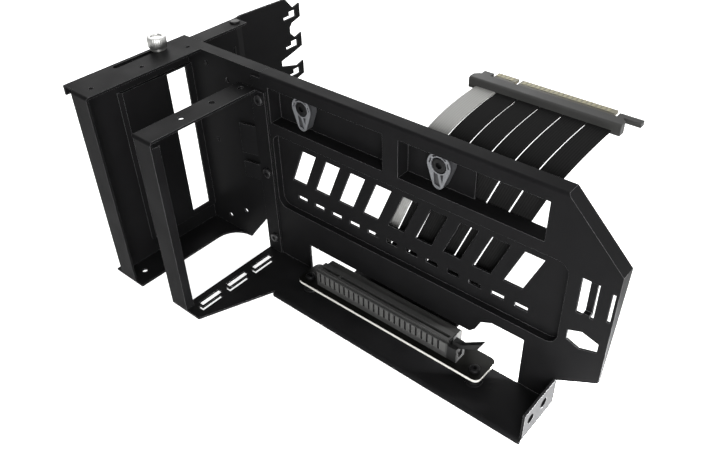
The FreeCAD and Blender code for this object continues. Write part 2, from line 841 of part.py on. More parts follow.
add(rear, "top_flange", "XY", S.plate_top, T, -1, polygon(
    (-S.rear_flange, corner_relief),
    (rear_back, corner_relief),
    (rear_back, -S.rear_near),
    (ZERO, -S.rear_near),
    (ZERO, wall_front),
    (wall_top_right, wall_front),
    (wall_top_right, flange_end),
    (-S.rear_flange, flange_end),
))
add(rear, "flange_lip", "YZ", -S.rear_flange, T, 1,
    box(corner_relief, flange_end, S.plate_top - S.rear_lip, S.plate_top))
flare = []
for i in range(FLARE_STEPS + 1):
    turn = math.pi / 2 * i / FLARE_STEPS
    flare.append((S.rear_floor + S.flare_long * (1 - math.cos(turn)),
                  wall_front - S.flare_deep * (1 - math.sin(turn))))
add(rear, "floor", "XY", -S.rear_low, T, 1, polygon(
    (rear_back - S.foot_tab, -S.rear_near),
    (S.rear_floor, -S.rear_near),
    *flare,
    (flare_right, wall_back),
    (rear_back, wall_back),
    (rear_back, S.foot_tab_wide - S.rear_near),
    (rear_back - S.foot_tab, S.foot_tab_wide - S.rear_near),
))
# Room for the sliding arm's flange below the top flange.
hook_flange_right = S.hook_flange - S.hook_plate
relief_far = flange_end + S.arm_clear
relief_near = S.hook_flange_near - S.slide_travel - S.arm_clear
cut(rear, "arm_relief", "XZ", relief_far, relief_far - relief_near, -1,
    box(rear_back - S.arm_clear, hook_flange_right + S.arm_clear, joint_top, S.plate_top - T))
# Slot that the thumbscrew runs along, and small round holes.
slot_half = S.shank * 0.5 + S.thumb_slot_gap
slot_reach = S.shank * 0.5 + S.thumb_slot_end
ROUND_END = 0.98
cut(rear, "thumb_slot", "XY", S.plate_top, T * 2, -1, rounded(
    -S.thumb_across - slot_half, -S.thumb_across + slot_half,
    -S.thumb_back - S.slide_travel - slot_reach, slot_reach - S.thumb_back, slot_half * ROUND_END))
flange_hole_near = S.flange_hole_in - S.rear_near
cut(rear, "flange_holes", "XY", S.plate_top, T, -1,
    *[flats(-S.flange_hole_across, flange_hole_near + S.flange_hole_step * i, S.flange_hole)
      for i in range(FLANGE_HOLES)])
cut(rear, "foot_hole", "XY", -S.rear_low, T, 1,
    flats(-S.foot_hole_across, S.foot_hole_in - S.rear_near, S.foot_hole))
cut(rear, "wall_dimples", "XZ", wall_front, S.dimple_deep, 1,
    flats(S.wall_hole_near, S.wall_hole_high, S.wall_hole),
    flats(S.wall_hole_far, S.wall_hole_high - S.wall_hole_drop, S.wall_hole),
    flats(S.wall_hole_near, S.wall_hole_mid, S.wall_hole))
cut(rear, "wall_holes", "XZ", wall_front, T, 1,
    flats(S.wall_hole_near, S.wall_hole_low, S.wall_hole),
    flats(S.wall_hole_far, S.wall_hole_low + S.wall_hole_rise, S.wall_hole))
cut(rear, "strap_holes", "XZ", wall_front, T, 1,
    *[flats(strap_hole_across, level, running_hole) for level in strap_levels])
round_bend(rear, "strip_top_bend", S.bend_round, y=-S.rear_near, z=S.plate_top)
round_bend(rear, "lip_bend", S.bend_round, x=-S.rear_flange, z=S.plate_top)

# Slot plate: hooks into the computer case and carries the arm that the rest slides on.
hooks = new_body("slot_plate")
arm_top = S.plate_top - T - S.slide_gap
arm_left = T + S.hook_arm_gap - S.rear_flange
arm_right = arm_left + S.hook_arm_wide
plate_out = -S.hook_plate
joggle_far = S.hook_flange_far + S.joggle_long
add(hooks, "arm", "XY", arm_top, T, -1, polygon(
    (arm_left, -S.hook_arm_near),
    (arm_right, -S.hook_arm_near),
    (arm_right, S.hook_flange_near),
    (hook_flange_right, S.hook_flange_near),
    (hook_flange_right, S.hook_flange_far),
    (plate_out, S.hook_flange_far),
    (plate_out, S.hook_plate_near),
    (arm_left, S.hook_plate_near),
))
hook_low = S.hook_top - S.slot_pitch * (CARD_PLACES - 1) - S.hook_high
plate_low = hook_low - S.hook_plate_below
add(hooks, "plate", "YZ", plate_out, T, 1,
    box(S.hook_plate_near, S.hook_flange_far, plate_low, arm_top))
add(hooks, "joggle", "XY", plate_low, arm_top - plate_low, 1, polygon(
    (plate_out, S.hook_flange_far),
    (plate_out + T, S.hook_flange_far),
    (plate_out, joggle_far),
    (plate_out - T, joggle_far),
))
hook_root = S.hook_far - S.hook_root
edge = [
    (joggle_far, plate_low),
    (hook_root, plate_low),
]
for i in reversed(range(CARD_PLACES)):
    top = S.hook_top - S.slot_pitch * i
    lowest = i == CARD_PLACES - 1
    notch = S.hook_far - (S.hook_notch_low if lowest else S.hook_notch)
    edge += [
        (hook_root, top - S.hook_high - S.hook_lead),
        (S.hook_far, top - S.hook_high),
        (S.hook_far, top),
        (hook_root + S.hook_lead, top - S.hook_dip),
    ]
    if i > 0:
        edge += [
            (notch, top + S.hook_notch_up),
            (notch, top + S.hook_notch_up + S.hook_notch_high),
        ]
edge += [
    (S.hook_far - S.hook_top_in, arm_top - S.hook_top_drop),
    (joggle_far, arm_top),
]
add(hooks, "far_plate", "YZ", plate_out - T, T, 1, polygon(*edge))
hook_slot_top = S.hook_top - S.slot_pitch * (CARD_PLACES - 1) - S.hook_bridge
hook_slot_low = hook_slot_top - S.hook_slot_high
hook_slot_foot = hook_slot_low + S.hook_slot_foot
hook_slot = cut(hooks, "hook_slot", "YZ", plate_out - T * 2, T * 4, 1, polygon(
    (S.hook_far - S.hook_slot_near, hook_slot_top),
    (S.hook_far - S.hook_slot_far, hook_slot_top),
    (S.hook_far - S.hook_slot_far, hook_slot_low),
    (S.hook_far - S.hook_slot_tail, hook_slot_low),
    (S.hook_far - S.hook_slot_tail, hook_slot_foot),
    (S.hook_far - S.hook_slot_near, hook_slot_foot),
))
repeat(hooks, "hook_slots", hook_slot, "V_Axis", S.slot_pitch, CARD_PLACES)
cut(hooks, "key_slot", "YZ", plate_out + T, S.key_slot_deep, -1,
    box(S.key_slot_near, S.key_slot_near + S.key_slot_wide,
        S.key_slot_low, S.key_slot_low + S.key_slot_high))
cut(hooks, "thumb_hole", "XY", arm_top, T * 2, -1,
    circle(-S.thumb_across, -S.thumb_back, running_hole))
rivet_back = flange_end + S.slide_travel + S.stop_gap + S.rivet_head * 0.5
rivet_across = S.hook_flange * 0.5 - S.hook_plate
cut(hooks, "rivet_hole", "XY", arm_top, T * 2, -1, flats(rivet_across, rivet_back, S.shank))

# Rivet that stops the slide at the end of its travel.
rivet = new_body("stop_rivet")
add(rivet, "shank", "XY", 0, T + S.rivet_tail, -1, flats(0, 0, S.shank))
add(rivet, "head", "XY", 0, S.rivet_high, 1, flats(0, 0, S.rivet_head, HEAD_FLATS))
place(rivet, rivet_across, rivet_back, arm_top)

# Knurled thumbscrew that locks the slide.
KNURLS = 20
thumb = new_body("thumbscrew")
add(thumb, "shank", "XY", 0, T * 2 + S.thumb_tail, -1, circle(0, 0, S.shank))
add(thumb, "collar", "XY", 0, S.collar_high, 1, flats(0, 0, S.thumb_base, HEAD_FLATS))
add(thumb, "head", "XY", S.collar_high, S.thumb_high - S.collar_high, 1,
    knurl(S.thumb_top, S.knurl_deep, KNURLS))
cut(thumb, "dish", "XY", S.thumb_high, S.dish_deep, -1, flats(0, 0, S.dish_wide, HEAD_FLATS))
place(thumb, -S.thumb_across, -S.thumb_back, S.plate_top + S.slide_gap)

# Two turning clips in the recesses, held by shouldered screws, with pockets inside their rim.
RING_POCKETS = (15, 60, 120, 165)
RING_SPREAD = 30
seat_round = S.clip_head * 0.5 + S.clip_head_gap
ring_inner = seat_round + S.clip_web
ring_outer = S.clip_round - S.clip_rim
tip_round = S.clip_tip_round - S.clip_rim


def on_clip(radius, degrees, drop=ZERO):
    """Point of a clip at a radius and a turn about its pivot, or about a point below it."""
    turn = math.radians(degrees)
    return radius * math.cos(turn), radius * math.sin(turn) - drop


def ring_pocket(middle):
    """Short pocket in the ring around the screw's seat."""
    start = middle - RING_SPREAD / 2
    end = middle + RING_SPREAD / 2
    return polygon(on_clip(ring_inner, start), on_clip(ring_outer, start),
                   on_clip(ring_outer, end), on_clip(ring_inner, end))


LEFT_TIP = 205
RIGHT_TIP = 335
TIP_MIDDLE = 280
clip_pockets = [ring_pocket(middle) for middle in RING_POCKETS]
clip_pockets.append(polygon(
    on_clip(ring_inner, LEFT_TIP + RING_SPREAD), on_clip(ring_inner, TIP_MIDDLE - RING_SPREAD / 2),
    on_clip(tip_round, RIGHT_TIP - RING_SPREAD, S.clip_drop), on_clip(tip_round, LEFT_TIP, S.clip_drop)))
clip_pockets.append(polygon(
    on_clip(ring_inner, TIP_MIDDLE), on_clip(ring_inner, RIGHT_TIP - RING_SPREAD),
    on_clip(tip_round, RIGHT_TIP + RING_SPREAD, S.clip_drop)))
clip_front = S.recess_deep - S.clip_thick - S.slide_gap
for label, across in (("clip_left", S.clip_across), ("clip_right", S.clip_across + S.clip_step)):
    clip = new_body(label)
    add(clip, "drop", "XY", 0, S.clip_thick, 1,
        clip_outline(S.clip_round, S.clip_tip_round, S.clip_drop))
    cut(clip, "pockets", "XY", S.clip_thick, S.clip_sunk, -1, *clip_pockets)
    cut(clip, "head_seat", "XY", S.clip_thick, S.clip_head_high, -1, flats(0, 0, seat_round * 2, HEAD_FLATS))
    cut(clip, "shank_hole", "XY", 0, S.clip_thick, 1, circle(0, 0, running_hole))
    place(clip, across, S.recess_deep - S.slide_gap, S.clip_level, X_AXIS, FACING_FRONT)
clip_screw_long = S.clip_thick - S.clip_head_high + S.slide_gap + T + S.clip_screw_past
clip_screw = screws("clip_screws", S.clip_head, S.clip_head_high, clip_screw_long,
                    S.clip_step, "X_Axis", 2, circle)
place(clip_screw, S.clip_across, clip_front + S.clip_head_high, S.clip_level, X_AXIS, FACING_FRONT)
strap_screw = screws("frame_screws", S.frame_head, S.frame_head_high, T * 3 + S.frame_screw_past,
                     S.strap_hole_step, "Y_Axis", STRAP_SCREWS, flats)
place(strap_screw, strap_hole_across, -T, S.strap_hole_low, X_AXIS, FACING_FRONT)

# Riser board on two standoffs.
board_right = S.board_left + S.board_long
board_top = S.standoff_high + S.board_thick
screw_left = S.board_left + S.board_hole_in
screw_step = S.board_long - S.board_hole_in * 2
screw_line = S.board_hole_front - S.board_front
board = new_body("riser_board")
add(board, "blank", "XY", S.standoff_high, S.board_thick, 1,
    rounded(S.board_left, board_right, -S.board_front, -S.board_back, S.board_round))
cut(board, "screw_holes", "XY", S.standoff_high, S.board_thick, 1,
    flats(screw_left, screw_line, hole), flats(screw_left + screw_step, screw_line, hole))
standoffs = new_body("riser_standoffs")
standoff = add(standoffs, "standoff", "XY", 0, S.standoff_high, 1,
               flats(screw_left, screw_line, S.standoff_wide, HEXAGON),
               flats(screw_left, screw_line, running_hole))
repeat(standoffs, "standoff_pair", standoff, "H_Axis", screw_step, 2)
flange = add(standoffs, "flange", "XY", 0, S.standoff_flange_high, 1,
             flats(screw_left, screw_line, S.standoff_flange, HEAD_FLATS),
             flats(screw_left, screw_line, running_hole))
repeat(standoffs, "flange_pair", flange, "H_Axis", screw_step, 2)
board_screw = screws("riser_screws", S.board_head, S.board_head_high, S.board_thick + S.board_screw_past,
                     screw_step, "X_Axis", 2, flats)
place(board_screw, screw_left, screw_line, board_top)

# Card slot: ribbed housing with a keyed groove and a post for the latch.
slot = new_body("card_slot")
slot_back = S.slot_wide - S.slot_front
slot_right = S.slot_left + S.slot_long
slot_top = board_top + S.slot_high
slot_middle = (slot_back - S.slot_front) * 0.5
groove_low = slot_middle - S.groove_wide * 0.5
groove_high = slot_middle + S.groove_wide * 0.5
key_left = S.slot_left + S.key_from
key_right = key_left + S.key_wide
post_top = slot_top - S.latch_post_drop
post_end = slot_right + S.latch_post
add(slot, "housing", "XY", board_top, S.slot_high, 1,
    box(S.slot_left, slot_right, -S.slot_front, slot_back))
add(slot, "latch_post", "XY", board_top, S.slot_high - S.latch_post_drop, 1,
    box(slot_right, post_end, -S.slot_front, slot_back))
cut(slot, "groove", "XY", slot_top, S.groove_deep, -1,
    box(S.slot_left + S.slot_end, key_left, groove_low, groove_high),
    box(key_right, slot_right - S.slot_end, groove_low, groove_high))
rib_left = S.slot_left + S.rib_in
rib_count = int((S.slot_long.value - S.rib_in.value * 2) / S.rib_step.value)
rib = cut(slot, "rib_groove", "XZ", -S.slot_front, S.rib_deep, 1,
          box(rib_left, rib_left + S.rib_wide, board_top + S.rib_low, slot_top - S.rib_under))
repeat(slot, "rib_grooves", rib, "H_Axis", S.rib_step, rib_count)
cut(slot, "top_step", "XY", slot_top, S.top_step_deep, -1,
    box(S.slot_left, slot_right, -S.slot_front, S.top_step - S.slot_front))
latch_axis_x = slot_right + S.latch_post * 0.5
latch_axis_z = board_top + S.latch_axis_up
seat_half = S.latch_wide * 0.5 + S.screw_gap
pin_half = S.latch_wide * 0.5 + S.latch_pin_out
cut(slot, "latch_seat", "XY", post_top, S.latch_seat_deep, -1,
    box(slot_right, post_end, slot_middle - seat_half, slot_middle + seat_half))
cut(slot, "latch_pin_holes", "XZ", slot_middle - pin_half - S.slide_gap, (pin_half + S.slide_gap) * 2, 1,
    flats(latch_axis_x, latch_axis_z, S.latch_pin + S.thread_gap * 2))

contacts = new_body("slot_contacts")
contact_left = key_right + S.contact_in
contact_right = contact_left + S.contact_wide
contact = add(contacts, "contact", "XY", slot_top - S.groove_deep, S.contact_high, 1,
              box(contact_left, contact_right, groove_low, groove_low + S.contact_thick),
              box(contact_left, contact_right, groove_high - S.contact_thick, groove_high))
contact_room = slot_right - S.slot_end - contact_right
contact_count = int(contact_room.value / S.contact_step.value)
repeat(contacts, "contact_rows", contact, "H_Axis", S.contact_step, contact_count)

# Latch at the end of the card slot: drawn with its pin at the origin.
latch = new_body("slot_latch")
latch_head = slot_top - latch_axis_z
tip_top = latch_head + S.latch_rise
add(latch, "lever", "XZ", -S.latch_wide * 0.5, S.latch_wide, 1, polygon(
    (-S.latch_half, -S.latch_foot),
    (S.latch_half, -S.latch_foot),
    (S.latch_neck, latch_head - S.latch_under),
    (S.latch_reach - S.latch_tip_back, tip_top - S.latch_tip_thick),
    (S.latch_reach, tip_top),
    (S.latch_shoulder, latch_head),
    (-S.latch_half, latch_head),
))
add(latch, "pin", "XZ", -pin_half, pin_half * 2, 1, circle(0, 0, S.latch_pin))
place(latch, latch_axis_x, slot_middle, latch_axis_z)

# Clamp over the ribbon's ends, behind the card slot.
clamp = new_body("ribbon_clamp")
clamp_back = -(S.board_back + S.clamp_gap)
clamp_top = board_top + S.clamp_high
add(clamp, "bar", "YZ", S.slot_left + S.clamp_in, S.slot_long - S.clamp_in * 2, 1, polygon(
    (slot_back, board_top),
    (clamp_back, board_top),
    (clamp_back, clamp_top - S.clamp_slope),
    (clamp_back - S.clamp_slope, clamp_top),
    (slot_back, clamp_top),
))

# Ribbon: separate flat strips that leave the riser, rise behind the plate and turn back to the plug.
STRIPS = 6
slot_centre = S.slot_left.value + S.slot_long.value / 2
ribbon_thick = S.ribbon_thick.value
ribbon_start = -S.board_back.value
ribbon_low = S.standoff_high.value + S.board_thick.value / 2
ribbon_back = S.ribbon_back.value
low_bend = S.ribbon_low_bend.value
top_bend = S.ribbon_top_bend.value
ribbon_level = S.ribbon_level.value
ribbon_end = S.plug_front.value
ribbon_skew = (S.plug_middle.value - slot_centre) / (ribbon_level - ribbon_low)
ribbon_lean = math.hypot(1, ribbon_skew)
strip_pitch = S.ribbon_wide.value / STRIPS
strip_wide = strip_pitch - S.ribbon_slit.value
low_y = ribbon_back - low_bend
low_z = ribbon_low + low_bend
top_y = ribbon_back + top_bend
top_z = ribbon_level - top_bend


def ribbon_point(left, y, z):
    """Point on a strip's left edge, which moves sideways as the strip rises."""
    return FreeCAD.Vector(left + ribbon_skew * (z - ribbon_low), y, z)


def ribbon_bend(middle, radius, quarter):
    """Quarter of the round bend, which the sideways lean stretches to an ellipse."""
    up = FreeCAD.Vector(ribbon_skew, 0, 1) * radius
    across = FreeCAD.Vector(0, radius, 0)
    oval = Part.Ellipse(middle + up, middle + across, middle)
    start = math.pi / 2 * quarter
    return Part.ArcOfEllipse(oval, start, start + math.pi / 2).toShape()


def ribbon_side(left, offset):
    """One face of a strip along its left edge: straight runs joined by tangent arcs.

    Args:
        left: X of the strip's left edge at the riser.
        offset: distance above the middle of the ribbon, measured at its lower end.
    """
    low_r = low_bend - offset
    top_r = top_bend + offset
    p = [ribbon_point(left, y, z) for y, z in (
        (ribbon_start, ribbon_low + offset),
        (low_y, ribbon_low + offset),
        (low_y + low_r, low_z),
        (top_y - top_r, top_z),
        (top_y, ribbon_level + offset),
        (ribbon_end, ribbon_level + offset),
    )]
    edges = [
        Part.LineSegment(p[0], p[1]).toShape(),
        ribbon_bend(ribbon_point(left, low_y, low_z), low_r, 1),
        Part.LineSegment(p[2], p[3]).toShape(),
        ribbon_bend(ribbon_point(left, top_y, top_z), top_r, 3),
        Part.LineSegment(p[4], p[5]).toShape(),
    ]
    return p[0], p[-1], edges


def ribbon_strip(left):
    """One strip: its left edge as a leaning section, carried across the strip's width."""
    upper_start, upper_end, upper = ribbon_side(left, ribbon_thick / 2)
    lower_start, lower_end, lower = ribbon_side(left, -ribbon_thick / 2)
    ends = [
        Part.LineSegment(upper_start, lower_start).toShape(),
        Part.LineSegment(upper_end, lower_end).toShape(),
    ]
    wire = Part.Wire(Part.__sortEdges__(upper + lower + ends))
    return Part.Face(wire).extrude(FreeCAD.Vector(strip_wide, 0, 0))


level_runs = (low_y - ribbon_start) + (ribbon_end - top_y)
side_length = level_runs + (top_z - low_z) + math.pi / 2 * (low_bend + top_bend)
ribbon_left = slot_centre - S.ribbon_wide.value / 2
for i in range(STRIPS):
    strip = doc.addObject("Part::Feature", f"ribbon_strip_{i + 1}")
    strip.Label = f"ribbon_strip_{i + 1}"
    strip.Shape = ribbon_strip(ribbon_left + strip_pitch * i + S.ribbon_slit.value / 2)
    strip.Placement = FreeCAD.Placement()
    strip.setExpression("Placement.Base.z", S.rear_low.text)
    NODES.append(strip)
    expected = side_length * ribbon_thick * strip_wide
    print(f"{strip.Label}: volume {strip.Shape.Volume:.1f}, section by length {expected:.1f}")
BEND_STEPS = 200
bends = 0.0
for radius in (low_bend, top_bend):
    for i in range(BEND_STEPS):
        turn = math.pi / 2 * (i + 0.5) / BEND_STEPS
        bends += radius * math.pi / 2 / BEND_STEPS * math.hypot(1, ribbon_skew * math.cos(turn))
ribbon_long = level_runs + (top_z - low_z) * ribbon_lean + bends
print(f"ribbon: length {ribbon_long:.1f}, bends {low_bend:.1f} and {top_bend:.1f}")

# Plug that goes into the main board's slot.
plug = new_body("plug_body")
plug_left = S.plug_middle - S.plug_wide * 0.5
plug_right = S.plug_middle + S.plug_wide * 0.5
plug_low = S.ribbon_level - S.plug_under
plug_back = S.plug_front + S.plug_deep
plug_root = plug_back - S.plug_root
edge_left = plug_left + S.edge_in
edge_right = edge_left + S.edge_long
edge_low = plug_low + S.edge_up
edge_inner = plug_back - S.edge_seat
edge_outer = plug_back + S.edge_out
add(plug, "shell", "XY", plug_low, S.plug_high, 1, polygon(
    (plug_left, S.plug_front),
    (plug_right, S.plug_front),
    (plug_right, plug_back - S.plug_chamfer),
    (plug_right - S.plug_chamfer, plug_back),
    (plug_left + S.plug_chamfer, plug_back),
    (plug_left, plug_back - S.plug_chamfer),
))
add(plug, "guide_tab", "XY", plug_low + S.plug_tab_up, S.plug_tab_high, 1,
    box(plug_left + S.plug_tab_in, edge_left - S.plug_tab_gap, plug_root, plug_back + S.plug_tab_out))
cut(plug, "board_seat", "XY", edge_low, S.board_thick, 1,
    box(edge_left, edge_right, edge_inner, plug_back + S.plug_root))
lock_left = edge_right + S.lock_gap
lock_right = lock_left + S.lock_neck
lock_bar = plug_back + S.lock_out
add(plug, "lock_hook", "XY", plug_low + S.plug_tab_up, S.lock_high, 1, polygon(
    (lock_left, plug_root),
    (lock_right, plug_root),
    (lock_right, lock_bar),
    (lock_left + S.lock_reach, lock_bar),
    (lock_left + S.lock_reach, lock_bar + S.lock_bar),
    (lock_left, lock_bar + S.lock_bar),
))
round_bend(plug, "front_round", S.plug_round, y=S.plug_front, z=plug_low + S.plug_high)

plug_board = new_body("plug_board")
edge_key_left = edge_left + S.edge_key_from
edge_key_right = edge_key_left + S.edge_key_gap
edge_key_end = edge_outer - S.edge_key_deep
add(plug_board, "blank", "XY", edge_low, S.board_thick, 1, polygon(
    (edge_left, edge_inner),
    (edge_right, edge_inner),
    (edge_right, edge_outer),
    (edge_key_right, edge_outer),
    (edge_key_right, edge_key_end),
    (edge_key_left, edge_key_end),
    (edge_key_left, edge_outer),
    (edge_left, edge_outer),
))
FINGERS = 19
SHORT_FINGERS = 4
fingers = new_body("plug_fingers")
finger_out = edge_outer - S.finger_in
finger_near = finger_out - S.finger_long
for side, level, towards in (
        ("upper", edge_low + S.board_thick, 1),
        ("lower", edge_low, -1)):
    for name, left, count in (
            ("long_row", edge_key_right + S.finger_side, FINGERS),
            ("short_row", edge_left + S.finger_first, SHORT_FINGERS)):
        finger = add(fingers, f"{side}_{name}_first", "XY", level, S.finger_thick, towards,
                     box(left, left + S.finger_wide, finger_near, finger_out))
        repeat(fingers, f"{side}_{name}", finger, "H_Axis", S.finger_step, count)

doc.recompute()
for item in doc.Objects:
    if {"Invalid", "Error"} & set(item.State):
        raise RuntimeError(f"{item.Name} did not build: {item.State}")
os.makedirs("parts", exist_ok=True)
for node in NODES:
    shape = node.Shape
    if shape.isNull() or not shape.isValid():
        raise RuntimeError(f"{node.Label} has no valid shape")
    shape.exportStep(f"parts/{node.Label}.step")
    span = shape.BoundBox
    print(f"{node.Label}: solids {len(shape.Solids)}, volume {shape.Volume:.1f}, "
          f"x {span.XMin:.1f} to {span.XMax:.1f}, y {span.YMin:.1f} to {span.YMax:.1f}, "
          f"z {span.ZMin:.1f} to {span.ZMax:.1f}")
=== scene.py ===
"""Looks of the upright graphics card bracket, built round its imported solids.

Lengths are in metres, in the frame of the solids: X along the main plate, Y towards the computer's
main board and Z up.
"""

import logging
import math
from dataclasses import dataclass, field
from enum import Enum
from typing import Iterable, Sequence

import bpy
import numpy as np
from mathutils import Matrix, Vector


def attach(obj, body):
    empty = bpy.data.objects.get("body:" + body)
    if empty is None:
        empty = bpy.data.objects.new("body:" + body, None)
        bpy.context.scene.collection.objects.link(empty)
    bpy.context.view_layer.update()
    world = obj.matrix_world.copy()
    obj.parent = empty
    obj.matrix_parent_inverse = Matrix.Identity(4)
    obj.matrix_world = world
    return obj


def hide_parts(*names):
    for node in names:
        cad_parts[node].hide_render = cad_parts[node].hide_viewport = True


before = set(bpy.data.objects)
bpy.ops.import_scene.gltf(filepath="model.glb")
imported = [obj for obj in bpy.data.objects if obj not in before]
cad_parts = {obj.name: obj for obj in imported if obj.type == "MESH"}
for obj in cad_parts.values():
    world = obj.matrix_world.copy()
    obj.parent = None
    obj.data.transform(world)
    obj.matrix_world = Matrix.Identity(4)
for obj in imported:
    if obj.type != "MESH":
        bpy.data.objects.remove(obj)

LOG = logging.getLogger("bracket")
UV_NAME = "along"
MM = 0.001
FULL_TURN = 2.0 * math.pi
TUBE_SHARP = math.radians(50.0)
Colour = tuple[float, float, float]
Point = tuple[float, float, float]


class Body(Enum):
    """Rigid bodies that new pieces ride on."""

    BASE = "base"
    CARRIAGE = "carriage"
    THUMB = "thumb"


class Facing(Enum):
    """Way that a fastener's head faces: two directions across it, then the one along it."""

    UP = ((1.0, 0.0, 0.0), (0.0, 1.0, 0.0), (0.0, 0.0, 1.0))
    FRONT = ((1.0, 0.0, 0.0), (0.0, 0.0, 1.0), (0.0, -1.0, 0.0))


class SocketType(Enum):
    """Sockets of the shared node groups."""

    VALUE = "NodeSocketFloat"
    VECTOR = "NodeSocketVector"


class NodeType(Enum):
    """Shader nodes used by the finishes and the studio."""

    COORDS = "ShaderNodeTexCoord"
    NOISE = "ShaderNodeTexNoise"
    WAVE = "ShaderNodeTexWave"
    RANGE = "ShaderNodeMapRange"
    MIX = "ShaderNodeMix"
    MATH = "ShaderNodeMath"
    BUMP = "ShaderNodeBump"
    GEOMETRY = "ShaderNodeNewGeometry"
    SPLIT = "ShaderNodeSeparateXYZ"
    VECTOR_MATH = "ShaderNodeVectorMath"
    GROUP = "ShaderNodeGroup"
    GROUP_INPUT = "NodeGroupInput"
    GROUP_OUTPUT = "NodeGroupOutput"
    LIGHT_PATH = "ShaderNodeLightPath"
    EMISSION = "ShaderNodeEmission"
    DIFFUSE = "ShaderNodeBsdfDiffuse"
    ADD_SHADER = "ShaderNodeAddShader"
    UV = "ShaderNodeUVMap"


def point_mm(x: float, y: float, z: float) -> Point:
    """Give a point in metres from its place in millimetres."""
    return (x * MM, y * MM, z * MM)


def add_node(tree: bpy.types.NodeTree, kind: NodeType, operation: str | None = None) -> bpy.types.Node:
    """Add a shader node.

    Args:
        tree: node tree to add to.
        kind: type of the node.
        operation: what a math node works out.

    Returns:
        The node.
    """
    node = tree.nodes.new(kind.value)
    if operation is not None:
        node.operation = operation
    return node


def lay_over(tree: bpy.types.NodeTree, mask: bpy.types.NodeSocket,
             under: bpy.types.NodeSocket | Colour, over: Colour) -> bpy.types.NodeSocket:
    """Lay one colour over another by a mask.

    Args:
        tree: the material's node tree.
        mask: 0 for the colour below and 1 for the one on top.
        under: the colour below, plain or from a socket.
        over: the colour on top.

    Returns:
        The blended colour.
    """
    mix = add_node(tree, NodeType.MIX)
    mix.data_type = "RGBA"
    mix.inputs["B"].default_value = (*over, 1.0)
    tree.links.new(mask, mix.inputs["Factor"])
    if isinstance(under, bpy.types.NodeSocket):
        tree.links.new(under, mix.inputs["A"])
    else:
        mix.inputs["A"].default_value = (*under, 1.0)
    return mix.outputs["Result"]


def start_group(name: str, inputs: Iterable[str], input_type: SocketType, outputs: Iterable[str],
                ) -> tuple[bpy.types.NodeTree, bpy.types.Node, bpy.types.Node]:
    """Start a shared node group.

    Args:
        name: name of the group.
        inputs: names of its inputs.
        input_type: type of its inputs.
        outputs: names of its outputs, which are values.

    Returns:
        The group's tree, its input node and its output node.
    """
    tree = bpy.data.node_groups.new(name, "ShaderNodeTree")
    for label in inputs:
        tree.interface.new_socket(label, in_out="INPUT", socket_type=input_type.value)
    for label in outputs:
        tree.interface.new_socket(label, in_out="OUTPUT", socket_type=SocketType.VALUE.value)
    return tree, add_node(tree, NodeType.GROUP_INPUT), add_node(tree, NodeType.GROUP_OUTPUT)


# Octaves of the fine and the coarse noise, and the coarse noise's usual range
FINE_DETAIL = 3.0
COARSE_DETAIL = 4.0
COARSE_LOW = 0.3
COARSE_HIGH = 0.7


def grain_group() -> bpy.types.NodeTree:
    """Build the shared surface grain: two noises on Object coordinates.

    Height is the fine noise, Mottle is the coarse noise and Spread is the coarse noise drawn out
    between the two roughnesses.

    Returns:
        The node group, made once.
    """
    name = "surface_grain"
    if name in bpy.data.node_groups:
        return bpy.data.node_groups[name]
    scales_and_limits = ("Grain Scale", "Mottle Scale", "Roughness Low", "Roughness High")
    tree, inputs, outputs = start_group(
        name, scales_and_limits, SocketType.VALUE, ("Height", "Mottle", "Spread"))
    coords = add_node(tree, NodeType.COORDS)
    fine = add_node(tree, NodeType.NOISE)
    coarse = add_node(tree, NodeType.NOISE)
    spread = add_node(tree, NodeType.RANGE)
    fine.inputs["Detail"].default_value = FINE_DETAIL
    coarse.inputs["Detail"].default_value = COARSE_DETAIL
    spread.inputs["From Min"].default_value = COARSE_LOW
    spread.inputs["From Max"].default_value = COARSE_HIGH
    links = tree.links
    links.new(coords.outputs["Object"], fine.inputs["Vector"])
    links.new(coords.outputs["Object"], coarse.inputs["Vector"])
    links.new(inputs.outputs["Grain Scale"], fine.inputs["Scale"])
    links.new(inputs.outputs["Mottle Scale"], coarse.inputs["Scale"])
    links.new(coarse.outputs["Fac"], spread.inputs["Value"])
    links.new(inputs.outputs["Roughness Low"], spread.inputs["To Min"])
    links.new(inputs.outputs["Roughness High"], spread.inputs["To Max"])
    links.new(fine.outputs["Fac"], outputs.inputs["Height"])
    links.new(coarse.outputs["Fac"], outputs.inputs["Mottle"])
    links.new(spread.outputs["Result"], outputs.inputs["Spread"])
    return tree


